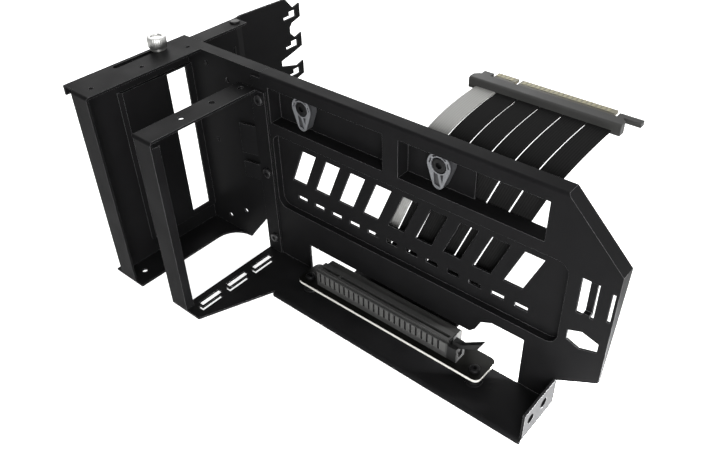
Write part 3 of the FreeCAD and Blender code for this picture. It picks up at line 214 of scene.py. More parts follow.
def box_mask_group() -> bpy.types.NodeTree:
    """Build the shared box mask: 1 inside a box in Object coordinates, 0 outside.

    The distances to the low and to the high corner are multiplied for each axis, and the smallest
    product is above zero only inside the box.

    Returns:
        The node group, made once.
    """
    name = "box_mask"
    if name in bpy.data.node_groups:
        return bpy.data.node_groups[name]
    tree, inputs, outputs = start_group(name, ("Low", "High"), SocketType.VECTOR, ("Mask",))
    coords = add_node(tree, NodeType.COORDS)
    above = add_node(tree, NodeType.VECTOR_MATH, "SUBTRACT")
    below = add_node(tree, NodeType.VECTOR_MATH, "SUBTRACT")
    product = add_node(tree, NodeType.VECTOR_MATH, "MULTIPLY")
    split = add_node(tree, NodeType.SPLIT)
    first = add_node(tree, NodeType.MATH, "MINIMUM")
    second = add_node(tree, NodeType.MATH, "MINIMUM")
    inside = add_node(tree, NodeType.MATH, "GREATER_THAN")
    inside.inputs[1].default_value = 0.0
    links = tree.links
    links.new(coords.outputs["Object"], above.inputs[0])
    links.new(inputs.outputs["Low"], above.inputs[1])
    links.new(inputs.outputs["High"], below.inputs[0])
    links.new(coords.outputs["Object"], below.inputs[1])
    links.new(above.outputs["Vector"], product.inputs[0])
    links.new(below.outputs["Vector"], product.inputs[1])
    links.new(product.outputs["Vector"], split.inputs["Vector"])
    links.new(split.outputs["X"], first.inputs[0])
    links.new(split.outputs["Y"], first.inputs[1])
    links.new(first.outputs["Value"], second.inputs[0])
    links.new(split.outputs["Z"], second.inputs[1])
    links.new(second.outputs["Value"], inside.inputs[0])
    links.new(inside.outputs["Value"], outputs.inputs["Mask"])
    return tree


@dataclass(frozen=True)
class Patch:
    """A box of another colour on a finish.

    Attributes:
        low: lowest corner.
        high: highest corner.
        colour: colour inside the box.
    """

    low: Point
    high: Point
    colour: Colour

    def lay(self, tree: bpy.types.NodeTree, under: bpy.types.NodeSocket) -> bpy.types.NodeSocket:
        """Lay the patch over a colour.

        Args:
            tree: the material's node tree.
            under: colour outside the box.

        Returns:
            The colour with the patch.
        """
        box = add_node(tree, NodeType.GROUP)
        box.node_tree = box_mask_group()
        box.inputs["Low"].default_value = self.low
        box.inputs["High"].default_value = self.high
        return lay_over(tree, box.outputs["Mask"], under, self.colour)


def new_material(name: str) -> tuple[bpy.types.Material, bpy.types.NodeTree, bpy.types.Node]:
    """Start a node material.

    Args:
        name: the finish's name.

    Returns:
        The material, its node tree and its Principled shader.
    """
    material = bpy.data.materials.new(name)
    material.use_nodes = True
    tree = material.node_tree
    return material, tree, tree.nodes["Principled BSDF"]


@dataclass(frozen=True)
class GrainFinish:
    """A coated, moulded or plated surface with fine grain and slight mottling.

    Attributes:
        name: name of the material.
        dark: colour in the mottling's low parts.
        light: colour in the mottling's high parts.
        rough: lowest and highest roughness.
        grain: grains in a metre.
        depth: height of the grain.
        specular: strength of the clear reflection.
        metallic: 1 for bare metal.
        mottle: mottling patches in a metre.
        edge: colour of upright faces, where they differ from the flat ones.
        patches: boxes of another colour, the later ones on top.
    """

    name: str
    dark: Colour
    light: Colour
    rough: tuple[float, float]
    grain: float = 2200.0
    depth: float = 0.00002
    specular: float = 0.25
    metallic: float = 0.0
    mottle: float = 60.0
    edge: Colour | None = None
    patches: tuple[Patch, ...] = ()

    # A face counts as upright where its normal rises or falls by less than this
    UPRIGHT = 0.5

    def build(self) -> bpy.types.Material:
        """Make the material from the grain group.

        Returns:
            The finished material.
        """
        material, tree, shader = new_material(self.name)
        grain = add_node(tree, NodeType.GROUP)
        grain.node_tree = grain_group()
        grain.inputs["Grain Scale"].default_value = self.grain
        grain.inputs["Mottle Scale"].default_value = self.mottle
        grain.inputs["Roughness Low"].default_value = self.rough[0]
        grain.inputs["Roughness High"].default_value = self.rough[1]
        colour = lay_over(tree, grain.outputs["Mottle"], self.dark, self.light)
        if self.edge is not None:
            colour = lay_over(tree, self.upright_mask(tree), colour, self.edge)
        for patch in self.patches:
            colour = patch.lay(tree, colour)
        bump = add_node(tree, NodeType.BUMP)
        bump.inputs["Distance"].default_value = self.depth
        tree.links.new(grain.outputs["Height"], bump.inputs["Height"])
        tree.links.new(bump.outputs["Normal"], shader.inputs["Normal"])
        tree.links.new(colour, shader.inputs["Base Color"])
        tree.links.new(grain.outputs["Spread"], shader.inputs["Roughness"])
        shader.inputs["Specular IOR Level"].default_value = self.specular
        shader.inputs["Metallic"].default_value = self.metallic
        return material

    def upright_mask(self, tree: bpy.types.NodeTree) -> bpy.types.NodeSocket:
        """Give 1 on faces that stand upright, as the cut edges of a circuit board do.

        Args:
            tree: the material's node tree.

        Returns:
            The mask.
        """
        geometry = add_node(tree, NodeType.GEOMETRY)
        split = add_node(tree, NodeType.SPLIT)
        level = add_node(tree, NodeType.MATH, "ABSOLUTE")
        upright = add_node(tree, NodeType.MATH, "LESS_THAN")
        upright.inputs[1].default_value = self.UPRIGHT
        tree.links.new(geometry.outputs["True Normal"], split.inputs["Vector"])
        tree.links.new(split.outputs["Z"], level.inputs[0])
        tree.links.new(level.outputs["Value"], upright.inputs[0])
        return upright.outputs["Value"]


@dataclass(frozen=True)
class RibbonJacket:
    """Jacket of a flat ribbon strip: fine ribs along its length, on the strip's own UV map.

    Attributes:
        name: name of the material.
        dark: colour in the valleys between the wires, a painted shade.
        light: colour on the crowns of the wires, a painted highlight.
        rough: roughness of the jacket.
        depth: height of the ribs.
        specular: strength of the clear reflection.
        wires: wires side by side in one strip.
        patches: boxes of another colour, the later ones on top.
    """

    name: str
    dark: Colour
    light: Colour
    rough: float
    depth: float
    specular: float
    wires: int = 9
    patches: tuple[Patch, ...] = ()

    # Scale of the wave that draws one band across the strip
    BAND_SCALE = 0.314

    def build(self) -> bpy.types.Material:
        """Make the material: a wave across the strip is the bump and the colour mask.

        Returns:
            The finished material.
        """
        material, tree, shader = new_material(self.name)
        coords = add_node(tree, NodeType.UV)
        coords.uv_map = UV_NAME
        wave = add_node(tree, NodeType.WAVE)
        wave.wave_type = "BANDS"
        wave.bands_direction = "X"
        wave.inputs["Scale"].default_value = self.wires * self.BAND_SCALE
        tree.links.new(coords.outputs["UV"], wave.inputs["Vector"])
        bump = add_node(tree, NodeType.BUMP)
        bump.inputs["Distance"].default_value = self.depth
        tree.links.new(wave.outputs["Fac"], bump.inputs["Height"])
        tree.links.new(bump.outputs["Normal"], shader.inputs["Normal"])
        colour = lay_over(tree, wave.outputs["Fac"], self.dark, self.light)
        for patch in self.patches:
            colour = patch.lay(tree, colour)
        tree.links.new(colour, shader.inputs["Base Color"])
        shader.inputs["Roughness"].default_value = self.rough
        shader.inputs["Specular IOR Level"].default_value = self.specular
        return material


# Painted shade on the clips' sides behind their front faces, and deeper painted shade on the floors of
# their pockets, down to the depth at which those floors lie
CLIP_SIDE_SHADE = Patch(point_mm(0.0, 3.2, 0.0), point_mm(300.0, 8.2, 200.0), (0.05, 0.051, 0.054))
CLIP_POCKET_SHADE = Patch(point_mm(0.0, 3.3, 0.0), point_mm(300.0, 4.5, 200.0), (0.03, 0.03, 0.032))

# Painted highlight on the ribs of the card slot's front, painted shade on the floors of the grooves
# between them, and the latch's post
SLOT_RIB_HIGHLIGHT = Patch(point_mm(97.0, -15.4, 14.4), point_mm(183.0, -15.0, 20.4), (0.07, 0.07, 0.068))
SLOT_GROOVE_SHADE = Patch(point_mm(97.0, -14.95, 14.4), point_mm(183.0, -14.0, 20.4), (0.008, 0.008, 0.008))
SLOT_POST = Patch(point_mm(183.9, -20.0, 11.0), point_mm(190.0, 0.0, 30.0), (0.007, 0.007, 0.007))

# The upper face of the plug's board between its contacts, and painted shade on the foot of the grey
# strip, low down behind the card slot
FINGER_BAND = Patch(point_mm(150.0, 61.3, 127.4), point_mm(220.0, 65.2, 127.8), (0.17, 0.16, 0.115))
RIBBON_FOOT_SHADE = Patch(point_mm(90.0, -10.0, 0.0), point_mm(200.0, 20.0, 34.0), (0.010, 0.010, 0.010))


class Finish(Enum):
    """Finishes of the bracket's own pieces."""

    BLACK_SHEET = GrainFinish(
        "black_sheet", (0.0055, 0.0055, 0.0058), (0.0095, 0.0095, 0.0099), (0.38, 0.5), specular=0.02)
    # Lighter colour for the softened edges of the sheets: a painted highlight along the folds and cut
    # edges
    PAINTED_EDGE_HIGHLIGHT = GrainFinish(
        "painted_edge_highlight", (0.09, 0.09, 0.092), (0.15, 0.15, 0.153), (0.3, 0.42))
    DARK_SCREW = GrainFinish(
        "dark_screw", (0.006, 0.006, 0.0065), (0.012, 0.012, 0.0125), (0.22, 0.34), specular=0.3)
    BLACK_SCREW = GrainFinish(
        "black_screw", (0.003, 0.003, 0.0033), (0.006, 0.006, 0.0063), (0.3, 0.42), specular=0.1)
    BRIGHT_SCREW = GrainFinish(
        "bright_screw", (0.30, 0.30, 0.29), (0.40, 0.40, 0.39), (0.34, 0.46),
        metallic=1.0, grain=900.0, mottle=200.0)
    # The grey clips carry painted shade on their sides and on their pocket floors
    GREY_CLIP = GrainFinish(
        "grey_clip", (0.115, 0.118, 0.125), (0.15, 0.154, 0.162), (0.45, 0.58),
        patches=(CLIP_SIDE_SHADE, CLIP_POCKET_SHADE))
    # The slot's plastic carries a painted highlight on its ribs and painted shade in its grooves
    SLOT_PLASTIC = GrainFinish(
        "slot_plastic", (0.030, 0.030, 0.0295), (0.042, 0.042, 0.041), (0.4, 0.5),
        patches=(SLOT_RIB_HIGHLIGHT, SLOT_GROOVE_SHADE, SLOT_POST))
    LATCH_PLASTIC = GrainFinish(
        "slot_plastic_dark", (0.008, 0.008, 0.008), (0.014, 0.014, 0.014), (0.4, 0.5), specular=0.12)
    BOARD = GrainFinish(
        "board", (0.002, 0.002, 0.0018), (0.004, 0.004, 0.0034), (0.3, 0.42),
        specular=0.08, edge=(0.62, 0.61, 0.57))
    GOLD = GrainFinish(
        "gold", (0.20, 0.19, 0.13), (0.27, 0.25, 0.17), (0.45, 0.58), metallic=0.5)
    PLUG_PLASTIC = GrainFinish(
        "plug_plastic", (0.026, 0.026, 0.025), (0.038, 0.038, 0.037), (0.42, 0.54), specular=0.15)
    PLUG_BOARD = GrainFinish(
        "plug_board", (0.022, 0.020, 0.010), (0.035, 0.031, 0.016), (0.35, 0.45),
        edge=(0.10, 0.085, 0.04), patches=(FINGER_BAND,))
    # The grey strip carries painted shade on its foot
    GREY_RIBBON = RibbonJacket(
        "grey_ribbon", (0.27, 0.27, 0.26), (0.31, 0.31, 0.30), 0.6,
        depth=0.00003, specular=0.1, patches=(RIBBON_FOOT_SHADE,))
    BLACK_RIBBON = RibbonJacket(
        "black_ribbon", (0.008, 0.008, 0.008), (0.012, 0.012, 0.012), 0.75,
        depth=0.00002, specular=0.02)


@dataclass
class FinishBook:
    """Materials made so far, one for each finish.

    Attributes:
        made: material of each finish.
    """

    made: dict[Finish, bpy.types.Material] = field(default_factory=dict)

    def get(self, finish: Finish) -> bpy.types.Material:
        """Give a finish's material, made on first use.

        Args:
            finish: the finish.

        Returns:
            Its material.
        """
        if finish not in self.made:
            self.made[finish] = finish.value.build()
        return self.made[finish]


@dataclass
class SolidPieces:
    """Pieces that keep their solids' shape and only get a finish and softened edges.

    Attributes:
        label: name of the sub-assembly.
        finishes: finish of each node.
        edge: width of the softened edges.
        worn: finish of the softened edges, where it differs: a lighter colour that paints a highlight
            along them.
    """

    label: str
    finishes: dict[str, Finish]
    edge: float
    worn: Finish | None = None

    COPLANAR = math.radians(0.5)
    SHARP = math.radians(35.0)
    WELD = 0.000005
    SEGMENTS = 2

    def build(self) -> None:
        """Join each solid's triangles, dissolve flat faces and soften the sharp edges."""
        for node in self.finishes:
            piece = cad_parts[node]
            weld = piece.modifiers.new("weld", "WELD")
            weld.merge_threshold = self.WELD
            flat = piece.modifiers.new("flat_faces", "DECIMATE")
            flat.decimate_type = "DISSOLVE"
            flat.angle_limit = self.COPLANAR
            bevel = piece.modifiers.new("soft_edges", "BEVEL")
            bevel.width = self.edge
            bevel.segments = self.SEGMENTS
            bevel.limit_method = "ANGLE"
            bevel.angle_limit = self.SHARP
            normals = piece.modifiers.new("even_normals", "WEIGHTED_NORMAL")
            normals.keep_sharp = True

    def dress(self, book: FinishBook) -> None:
        """Put each node's finish on its material slots.

        Args:
            book: the materials.
        """
        for node, finish in self.finishes.items():
            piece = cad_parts[node]
            for slot in piece.material_slots:
                slot.material = book.get(finish)
            # The bevel faces take the lighter edge finish, which paints a highlight along every softened
            # edge
            if self.worn is not None:
                piece.data.materials.append(book.get(self.worn))
                piece.modifiers["soft_edges"].material = len(piece.material_slots) - 1
            LOG.info("%s: %s in %s", self.label, node, finish.value.name)


def tube_object(name: str, grid: np.ndarray, share: np.ndarray) -> bpy.types.Object:
    """Turn a grid that closes on itself around into a closed tube with flat ends.

    Args:
        name: name of the piece.
        grid: points (along, around, 3).
        share: position across the section of each point around, 0 to 1, for the UV map.

    Returns:
        The piece.
    """
    along, around, _ = grid.shape
    index = np.arange(along * around).reshape(along, around)
    after = np.roll(index, -1, axis=1)
    quads = np.stack([index[:-1], index[1:], after[1:], after[:-1]], axis=-1).reshape(-1, 4)
    faces = quads.tolist() + [index[0].tolist(), index[-1, ::-1].tolist()]
    mesh = bpy.data.meshes.new(name)
    mesh.from_pydata(grid.reshape(-1, 3).tolist(), [], faces)
    corner = np.empty(len(mesh.loops), dtype=np.int32)
    mesh.loops.foreach_get("vertex_index", corner)
    uv = np.stack([share[corner % around], (corner // around) / (along - 1)], axis=1)
    layer = mesh.uv_layers.new(name=UV_NAME)
    layer.data.foreach_set("uv", uv.ravel())
    mesh.polygons.foreach_set("use_smooth", np.ones(len(mesh.polygons), dtype=bool))
    mesh.set_sharp_from_angle(angle=TUBE_SHARP)
    piece = bpy.data.objects.new(name, mesh)
    bpy.context.scene.collection.objects.link(piece)
    return piece


@dataclass
class Ribbon:
    """Flat strips from the riser board to the plug, each a strip of its own.

    Attributes:
        strips: number of strips.
        wide: width of all strips together.
        slit: gap between two strips.
        thick: thickness of a strip.
        start: where the strips leave the board, as Y and Z.
        behind: Y of the rising run.
        level: Z of the run to the plug.
        end: Y of the plug's face.
        low_middle: X of the strips' middle at the board.
        top_middle: X of the strips' middle at the plug.
        length: length of a strip; not used.
        open_above: height above the board at which the slits are fully open.
        plug_nodes: nodes of the plug, which hangs on the strips; not used.
    """

    strips: int = 6
    wide: float = 0.071
    slit: float = 0.0007
    thick: float = 0.001
    start: tuple[float, float] = (-0.0005, 0.0102)
    behind: float = 0.0105
    level: float = 0.125
    end: float = 0.050
    low_middle: float = 0.1400
    top_middle: float = 0.1846
    length: float = 0.1612
    open_above: float = 0.022
    plug_nodes: tuple[str, ...] = ("plug_body", "plug_board", "plug_fingers")

    # Points round a strip's section, the power that squares it, and the spline's fineness
    ROUND_POINTS = 40
    ROUND_POWER = 0.18
    RESOLUTION = 24

    def finish_of(self, strip: int) -> Finish:
        """Give a strip's finish: the first strip is grey, the others are black."""
        return Finish.GREY_RIBBON if strip == 0 else Finish.BLACK_RIBBON

    def middle_at(self, height: float) -> float:
        """Give the X of the strips' middle at a height: it leans evenly from board to plug."""
        share = (height - self.start[1]) / (self.level - self.start[1])
        return self.low_middle + share * (self.top_middle - self.low_middle)

    def route(self, strip: int) -> list[Point]:
        """List the control points of one strip's line.

        The corners are those of the solid's runs, with one more point on the rising run near each
        corner.

        Args:
            strip: number of the strip, from 0.

        Returns:
            The points, from the board to the plug.
        """
        pitch = self.wide / self.strips
        aside = (strip + 0.5) * pitch - self.wide / 2
        first_run = self.behind - self.start[0]
        last_run = self.end - self.behind
        corners = [
            self.start,
            (self.behind, self.start[1]),
            (self.behind, self.start[1] + first_run),
            (self.behind, self.level - last_run),
            (self.behind, self.level),
            (self.end, self.level),
        ]
        return [(self.middle_at(z) + aside, y, z) for y, z in corners]

    def line(self, points: Sequence[Point]) -> np.ndarray:
        """Read the points of the smooth spline that a route's control points draw.

        Args:
            points: control points of the route.

        Returns:
            Array of points, one row each.
        """
        curve = bpy.data.curves.new("ribbon_line", "CURVE")
        curve.dimensions = "3D"
        curve.resolution_u = self.RESOLUTION
        spline = curve.splines.new("NURBS")
        spline.points.add(len(points) - 1)
        weighted = np.hstack([np.array(points), np.ones((len(points), 1))])
        spline.points.foreach_set("co", weighted.ravel())
        spline.order_u = 3
        spline.use_endpoint_u = True
        holder = bpy.data.objects.new("ribbon_line", curve)
        mesh = bpy.data.meshes.new_from_object(holder)
        flat = np.empty(len(mesh.vertices) * 3)
        mesh.vertices.foreach_get("co", flat)
        bpy.data.objects.remove(holder)
        bpy.data.curves.remove(curve)
        bpy.data.meshes.remove(mesh)
        return flat.reshape(-1, 3)

    def sweep(self, line: np.ndarray) -> tuple[np.ndarray, np.ndarray]:
        """Carry a strip's section along its line.

        A point is the line's point, plus half the width times a signed power of the cosine along X,
        plus half the thickness times the same power of the sine along the line's normal in the
        YZ plane. The small power makes a rectangle with rounded corners. The slits between strips
        open evenly with the height above the board.

        Args:
            line: points of the strip's middle line.

        Returns:
            Grid of points (along, around, 3) and the share of the width at each point around.
        """
        turn = np.linspace(0.0, FULL_TURN, self.ROUND_POINTS, endpoint=False)
        across = np.sign(np.cos(turn)) * np.abs(np.cos(turn)) ** self.ROUND_POWER
        above = np.sign(np.sin(turn)) * np.abs(np.sin(turn)) ** self.ROUND_POWER
        open_share = np.clip((line[:, 2] - self.start[1]) / self.open_above, 0.0, 1.0)
        half_wide = (self.wide / self.strips - self.slit * open_share[:, None, None]) / 2
        tangent = np.gradient(line, axis=0)
        normal = np.stack([np.zeros(len(line)), -tangent[:, 2], tangent[:, 1]], axis=1)
        normal /= np.linalg.norm(normal, axis=1, keepdims=True)
        aside = np.array([1.0, 0.0, 0.0])
        grid = (line[:, None, :]
                + half_wide * across[None, :, None] * aside
                + self.thick / 2 * above[None, :, None] * normal[:, None, :])
        return grid, (across + 1.0) / 2.0

    def build(self) -> list[bpy.types.Object]:
        """Returns:
            The strips.
        """
        pieces = []
        for strip in range(self.strips):
            points = self.route(strip)
            line = self.line(points)
            grid, share = self.sweep(line)
            piece = tube_object(f"ribbon_jacket_{strip + 1}", grid, share)
            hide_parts(f"ribbon_strip_{strip + 1}")
            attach(piece, Body.CARRIAGE.value)
            pieces.append(piece)
        return pieces

    def dress(self, book: FinishBook, pieces: Iterable[bpy.types.Object]) -> None:
        """Put the jackets on.

        Args:
            book: the materials.
            pieces: the strips in order.
        """
        for strip, piece in enumerate(pieces):
            finish = self.finish_of(strip)
            piece.data.materials.append(book.get(finish))
            LOG.info("ribbon: %s in %s", piece.name, finish.value.name)


def turned_points(radius: np.ndarray, height: np.ndarray, turn: np.ndarray, facing: Facing) -> np.ndarray:
    """Place a turned surface: radius times cosine and sine of the turn across, and height along.

    Args:
        radius: radius at each row and turn.
        height: height of each row.
        turn: angle of each column.
        facing: the three directions.

    Returns:
        Grid of points (along, around, 3).
    """
    first, second, along = (np.array(direction) for direction in facing.value)
    return (radius[:, :, None] * np.cos(turn)[None, :, None] * first
            + radius[:, :, None] * np.sin(turn)[None, :, None] * second
            + height[:, None, None] * along)


@dataclass
class Fasteners:
    """Turned fasteners of one kind, each a profile carried round its own axis.

    Attributes:
        label: name of the pieces.
        node: solids that they stand for.
        body: body that they ride on.
        finish: finish of all of them.
        facing: way that the heads face.
        places: middle of each head's underside.
        head: radius of the head.
        high: height of the head.
        shank: radius of the shank.
        long: length of the shank.
        rounding: radius of the head's rounded edge.
        socket: half the width across the socket's flats, or none.
        socket_deep: depth of the socket.
        slot: the record's material slot; not used.
    """

    label: str
    node: str
    body: Body
    finish: Finish
    facing: Facing
    places: tuple[Point, ...]
    head: float
    high: float
    shank: float
    long: float
    rounding: float
    socket: float | None = None
    socket_deep: float = 0.0
    slot: str = "dark_screw"

    # Steps round the axis and up the head's edge, and the radius of the flat that closes a plain top
    STEPS = 60
    ROUND_STEPS = 7
    MIDDLE = 0.0002

    def profile(self) -> tuple[np.ndarray, np.ndarray, np.ndarray]:
        """Work out the profile from the shank's tip to the middle of the head's top.

        The head's edge is a quarter circle: its radius is the head's less the rounding, plus the
        rounding times the cosine, and its height rises with the sine.

        Returns:
            Radius, height and a mask that is 1 on the rows of the hexagon socket.
        """
        quarter = np.linspace(0.0, FULL_TURN / 4, self.ROUND_STEPS)
        edge_radius = self.head - self.rounding + self.rounding * np.cos(quarter)
        edge_height = self.high - self.rounding + self.rounding * np.sin(quarter)
        if self.socket is None:
            inner_radius = [self.MIDDLE]
            inner_height = [self.high]
        else:
            inner_radius = [self.socket, self.socket]
            inner_height = [self.high, self.high - self.socket_deep]
        radius = np.concatenate([[self.shank, self.shank, self.head], edge_radius, inner_radius])
        height = np.concatenate([[-self.long, 0.0, 0.0], edge_height, inner_height])
        hexagon = np.zeros(len(radius))
        if self.socket is not None:
            hexagon[-len(inner_radius):] = 1.0
        return radius, height, hexagon

    def surface(self) -> np.ndarray:
        """Carry the profile round: a point is the radius times the turn's directions, plus the height.

        On the socket's rows the radius is the half width over the cosine of the turn from the nearest
        flat's middle, which draws a hexagon.

        Returns:
            Grid of points (along, around, 3) about the origin.
        """
        radius, height, hexagon = self.profile()
        turn = -np.linspace(0.0, FULL_TURN, self.STEPS, endpoint=False)
        sixth = FULL_TURN / 6
        corner = 1.0 / np.cos(np.mod(turn + sixth / 2, sixth) - sixth / 2)
        stretch = 1.0 + hexagon[:, None] * (corner[None, :] - 1.0)
        return turned_points(radius[:, None] * stretch, height, turn, self.facing)

    def build(self) -> list[bpy.types.Object]:
        """Make one piece for each place.

        Returns:
            The pieces.
        """
        surface = self.surface()
        share = np.linspace(0.0, 1.0, surface.shape[1])
        pieces = []
        for number, place in enumerate(self.places, start=1):
            piece = tube_object(f"{self.label}_{number}", surface + np.array(place), share)
            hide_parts(self.node)
            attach(piece, self.body.value)
            pieces.append(piece)
        return pieces

    def dress(self, book: FinishBook, pieces: Iterable[bpy.types.Object]) -> None:
        """Put the finish on the pieces.

        Args:
            book: the materials.
            pieces: the pieces of this kind.
        """
        for piece in pieces:
            piece.data.materials.append(book.get(self.finish))
            LOG.info("fasteners: %s in %s", piece.name, self.finish.value.name)


@dataclass
class ThumbKnob(Fasteners):
    """Knurled thumbscrew: a collar, a knurled head with sloped edges and a dish on top.

    Attributes:
        collar: radius of the collar.
        collar_high: height of the collar.
        tooth: depth of the knurl.
        dish: radius of the dish.
        dish_deep: depth of the dish.
    """

    collar: float = 4.5 * MM
    collar_high: float = 1.4 * MM
    tooth: float = 0.22 * MM
    dish: float = 3.2 * MM
    dish_deep: float = 0.7 * MM

    TEETH = 32
    TOOTH_STEPS = 4
    DISH_LEAN = 0.3 * MM

    def surface(self) -> np.ndarray:
        """Carry the profile round, with the head's radius less a triangle wave times the tooth's depth.

        Each row of the profile is a radius, a height and a mask that is 1 where the knurl is cut.

        Returns:
            Grid of points (along, around, 3) about the origin.
        """
        rows = np.array([
            (self.shank, -self.long, 0.0),
            (self.shank, 0.0, 0.0),
            (self.collar, 0.0, 0.0),
            (self.collar, self.collar_high, 0.0),
            (self.head - self.rounding, self.collar_high, 0.0),
            (self.head, self.collar_high + self.rounding, 1.0),
            (self.head, self.high - self.rounding, 1.0),
            (self.head - self.rounding, self.high, 0.0),
            (self.dish, self.high, 0.0),
            (self.dish - self.DISH_LEAN, self.high - self.dish_deep, 0.0),
        ])
        turn = -np.linspace(0.0, FULL_TURN, self.TEETH * self.TOOTH_STEPS, endpoint=False)
        wave = np.abs(np.mod(turn * self.TEETH / FULL_TURN, 1.0) - 0.5) * 2.0
        radius = rows[:, :1] - self.tooth * rows[:, 2:] * wave[None, :]
        return turned_points(radius, rows[:, 1], turn, self.facing)


@dataclass(frozen=True)
class Softbox:
    """A square lamp that faces the camera's target or a point near it.

    Attributes:
        name: name of the lamp.
        place: offset from the target.
        side: side of the square.
        power: power in watts.
        aim: offset from the target of the point that it faces.
        spread: angle of its beam, in degrees.
    """

    name: str
    place: Point
    side: float
    power: float
    aim: Point = (0.0, 0.0, 0.0)
    spread: float = 180.0

    def hang(self, target: Point) -> None:
        """Hang the lamp, unseen by the camera.

        Args:
            target: point that the camera looks at.
        """
        light = bpy.data.lights.new(self.name, "AREA")
        light.size = self.side
        light.energy = self.power
        light.spread = math.radians(self.spread)
        holder = bpy.data.objects.new(self.name, light)
        bpy.context.scene.collection.objects.link(holder)
        spot = Vector(target) + Vector(self.place)
        turn = (Vector(target) + Vector(self.aim) - spot).to_track_quat("-Z", "Y")
        holder.matrix_world = Matrix.Translation(spot) @ turn.to_matrix().to_4x4()
        holder.visible_camera = False


@dataclass
class Studio:
    """Floor, lights and camera.

    Attributes:
        lamps: the softboxes.
        floor_level: height of the floor.
        reach: half the floor's side.
        azimuth: camera's turn from the plate's front, in degrees.
        elevation: camera's rise, in degrees.
        roll: camera's lean, in degrees.
        target: point that the camera looks at.
        distance: from the target to the camera.
        focal_pixels: focal length in pixels of the picture.
        picture_wide: width of the picture in pixels.
    """

    lamps: tuple[Softbox, ...]
    floor_level: float = -0.0001
    reach: float = 6.0
    azimuth: float = 41.75
    elevation: float = 37.47
    roll: float = -2.07
    target: Point = (0.1305, -0.02005, 0.0718)
    distance: float = 0.3676
    focal_pixels: float = 751.2
    picture_wide: float = 712.0

    # Camera's sensor in millimetres and nearest distance
    SENSOR = 36.0
    NEAREST = 0.01

    # The floor's own light to the camera, and the surround's strength as a light and as a background
    FLOOR_GLOW = 0.85
    FLOOR_COLOUR = (0.86, 0.86, 0.86)
    AMBIENT = 0.17
    BACKGROUND = 1.0
    WHITE = (1.0, 1.0, 1.0)

    def build(self) -> None:
        """Set up floor, world, lamps and camera."""
        self.floor()
        self.world()
        for lamp in self.lamps:
            lamp.hang(self.target)
        self.camera()

    def seen_mask(self, tree: bpy.types.NodeTree) -> bpy.types.NodeSocket:
        """Give 1 for camera, glossy and transmission rays, which see the white background.

        Args:
            tree: node tree to add to.

        Returns:
            The mask.
        """
        path = add_node(tree, NodeType.LIGHT_PATH)
        first = add_node(tree, NodeType.MATH, "MAXIMUM")
        second = add_node(tree, NodeType.MATH, "MAXIMUM")
        tree.links.new(path.outputs["Is Camera Ray"], first.inputs[0])
        tree.links.new(path.outputs["Is Glossy Ray"], first.inputs[1])
        tree.links.new(first.outputs["Value"], second.inputs[0])
        tree.links.new(path.outputs["Is Transmission Ray"], second.inputs[1])
        return second.outputs["Value"]

    def floor(self) -> None:
        """Lay a white floor that glows towards the camera and keeps the shadow."""
        side = self.reach
        corners = np.array([[-side, -side], [side, -side], [side, side], [-side, side]])
        points = np.hstack([corners, np.full((len(corners), 1), self.floor_level)])
        mesh = bpy.data.meshes.new("floor")
        mesh.from_pydata(points.tolist(), [], [[0, 1, 2, 3]])
        ground = bpy.data.objects.new("floor", mesh)
        bpy.context.scene.collection.objects.link(ground)
        material, tree, shader = new_material("floor_white")
        tree.nodes.remove(shader)
        diffuse = add_node(tree, NodeType.DIFFUSE)
        diffuse.inputs["Color"].default_value = (*self.FLOOR_COLOUR, 1.0)
        glow = add_node(tree, NodeType.EMISSION)
        strength = add_node(tree, NodeType.MATH, "MULTIPLY")
        strength.inputs[1].default_value = self.FLOOR_GLOW
        tree.links.new(self.seen_mask(tree), strength.inputs[0])
        tree.links.new(strength.outputs["Value"], glow.inputs["Strength"])
        both = add_node(tree, NodeType.ADD_SHADER)
        tree.links.new(diffuse.outputs["BSDF"], both.inputs[0])
        tree.links.new(glow.outputs["Emission"], both.inputs[1])
        tree.links.new(both.outputs["Shader"], tree.nodes["Material Output"].inputs["Surface"])
        mesh.materials.append(material)

    def world(self) -> None:
        """Make a plain white surround, dimmer as a light than as a background."""
        world = bpy.data.worlds.new("surround")
        bpy.context.scene.world = world
        world.use_nodes = True
        tree = world.node_tree
        background = tree.nodes["Background"]
        background.inputs["Color"].default_value = (*self.WHITE, 1.0)
        strength = add_node(tree, NodeType.RANGE)
        strength.inputs["To Min"].default_value = self.AMBIENT
        strength.inputs["To Max"].default_value = self.BACKGROUND
        tree.links.new(self.seen_mask(tree), strength.inputs["Value"])
        tree.links.new(strength.outputs["Result"], background.inputs["Strength"])

    def camera(self) -> None:
        """Place the camera at the photograph's viewing angle."""
        turn = math.radians(self.azimuth)
        rise = math.radians(self.elevation)
        lean = math.radians(self.roll)
        back = Vector((math.sin(turn) * math.cos(rise), -math.cos(turn) * math.cos(rise), math.sin(rise)))
        right = Vector((math.cos(turn), math.sin(turn), 0.0))
        up = back.cross(right)
        leaned_right = right * math.cos(lean) + up * math.sin(lean)
        leaned_up = up * math.cos(lean) - right * math.sin(lean)
        data = bpy.data.cameras.new("camera")
        data.sensor_width = self.SENSOR
        data.lens = self.SENSOR * self.focal_pixels / self.picture_wide
        data.clip_start = self.NEAREST
        view = bpy.data.objects.new("camera", data)
        bpy.context.scene.collection.objects.link(view)
        axes = Matrix((leaned_right, leaned_up, back)).transposed().to_4x4()
        view.matrix_world = Matrix.Translation(Vector(self.target) + back * self.distance) @ axes
        bpy.context.scene.camera = view


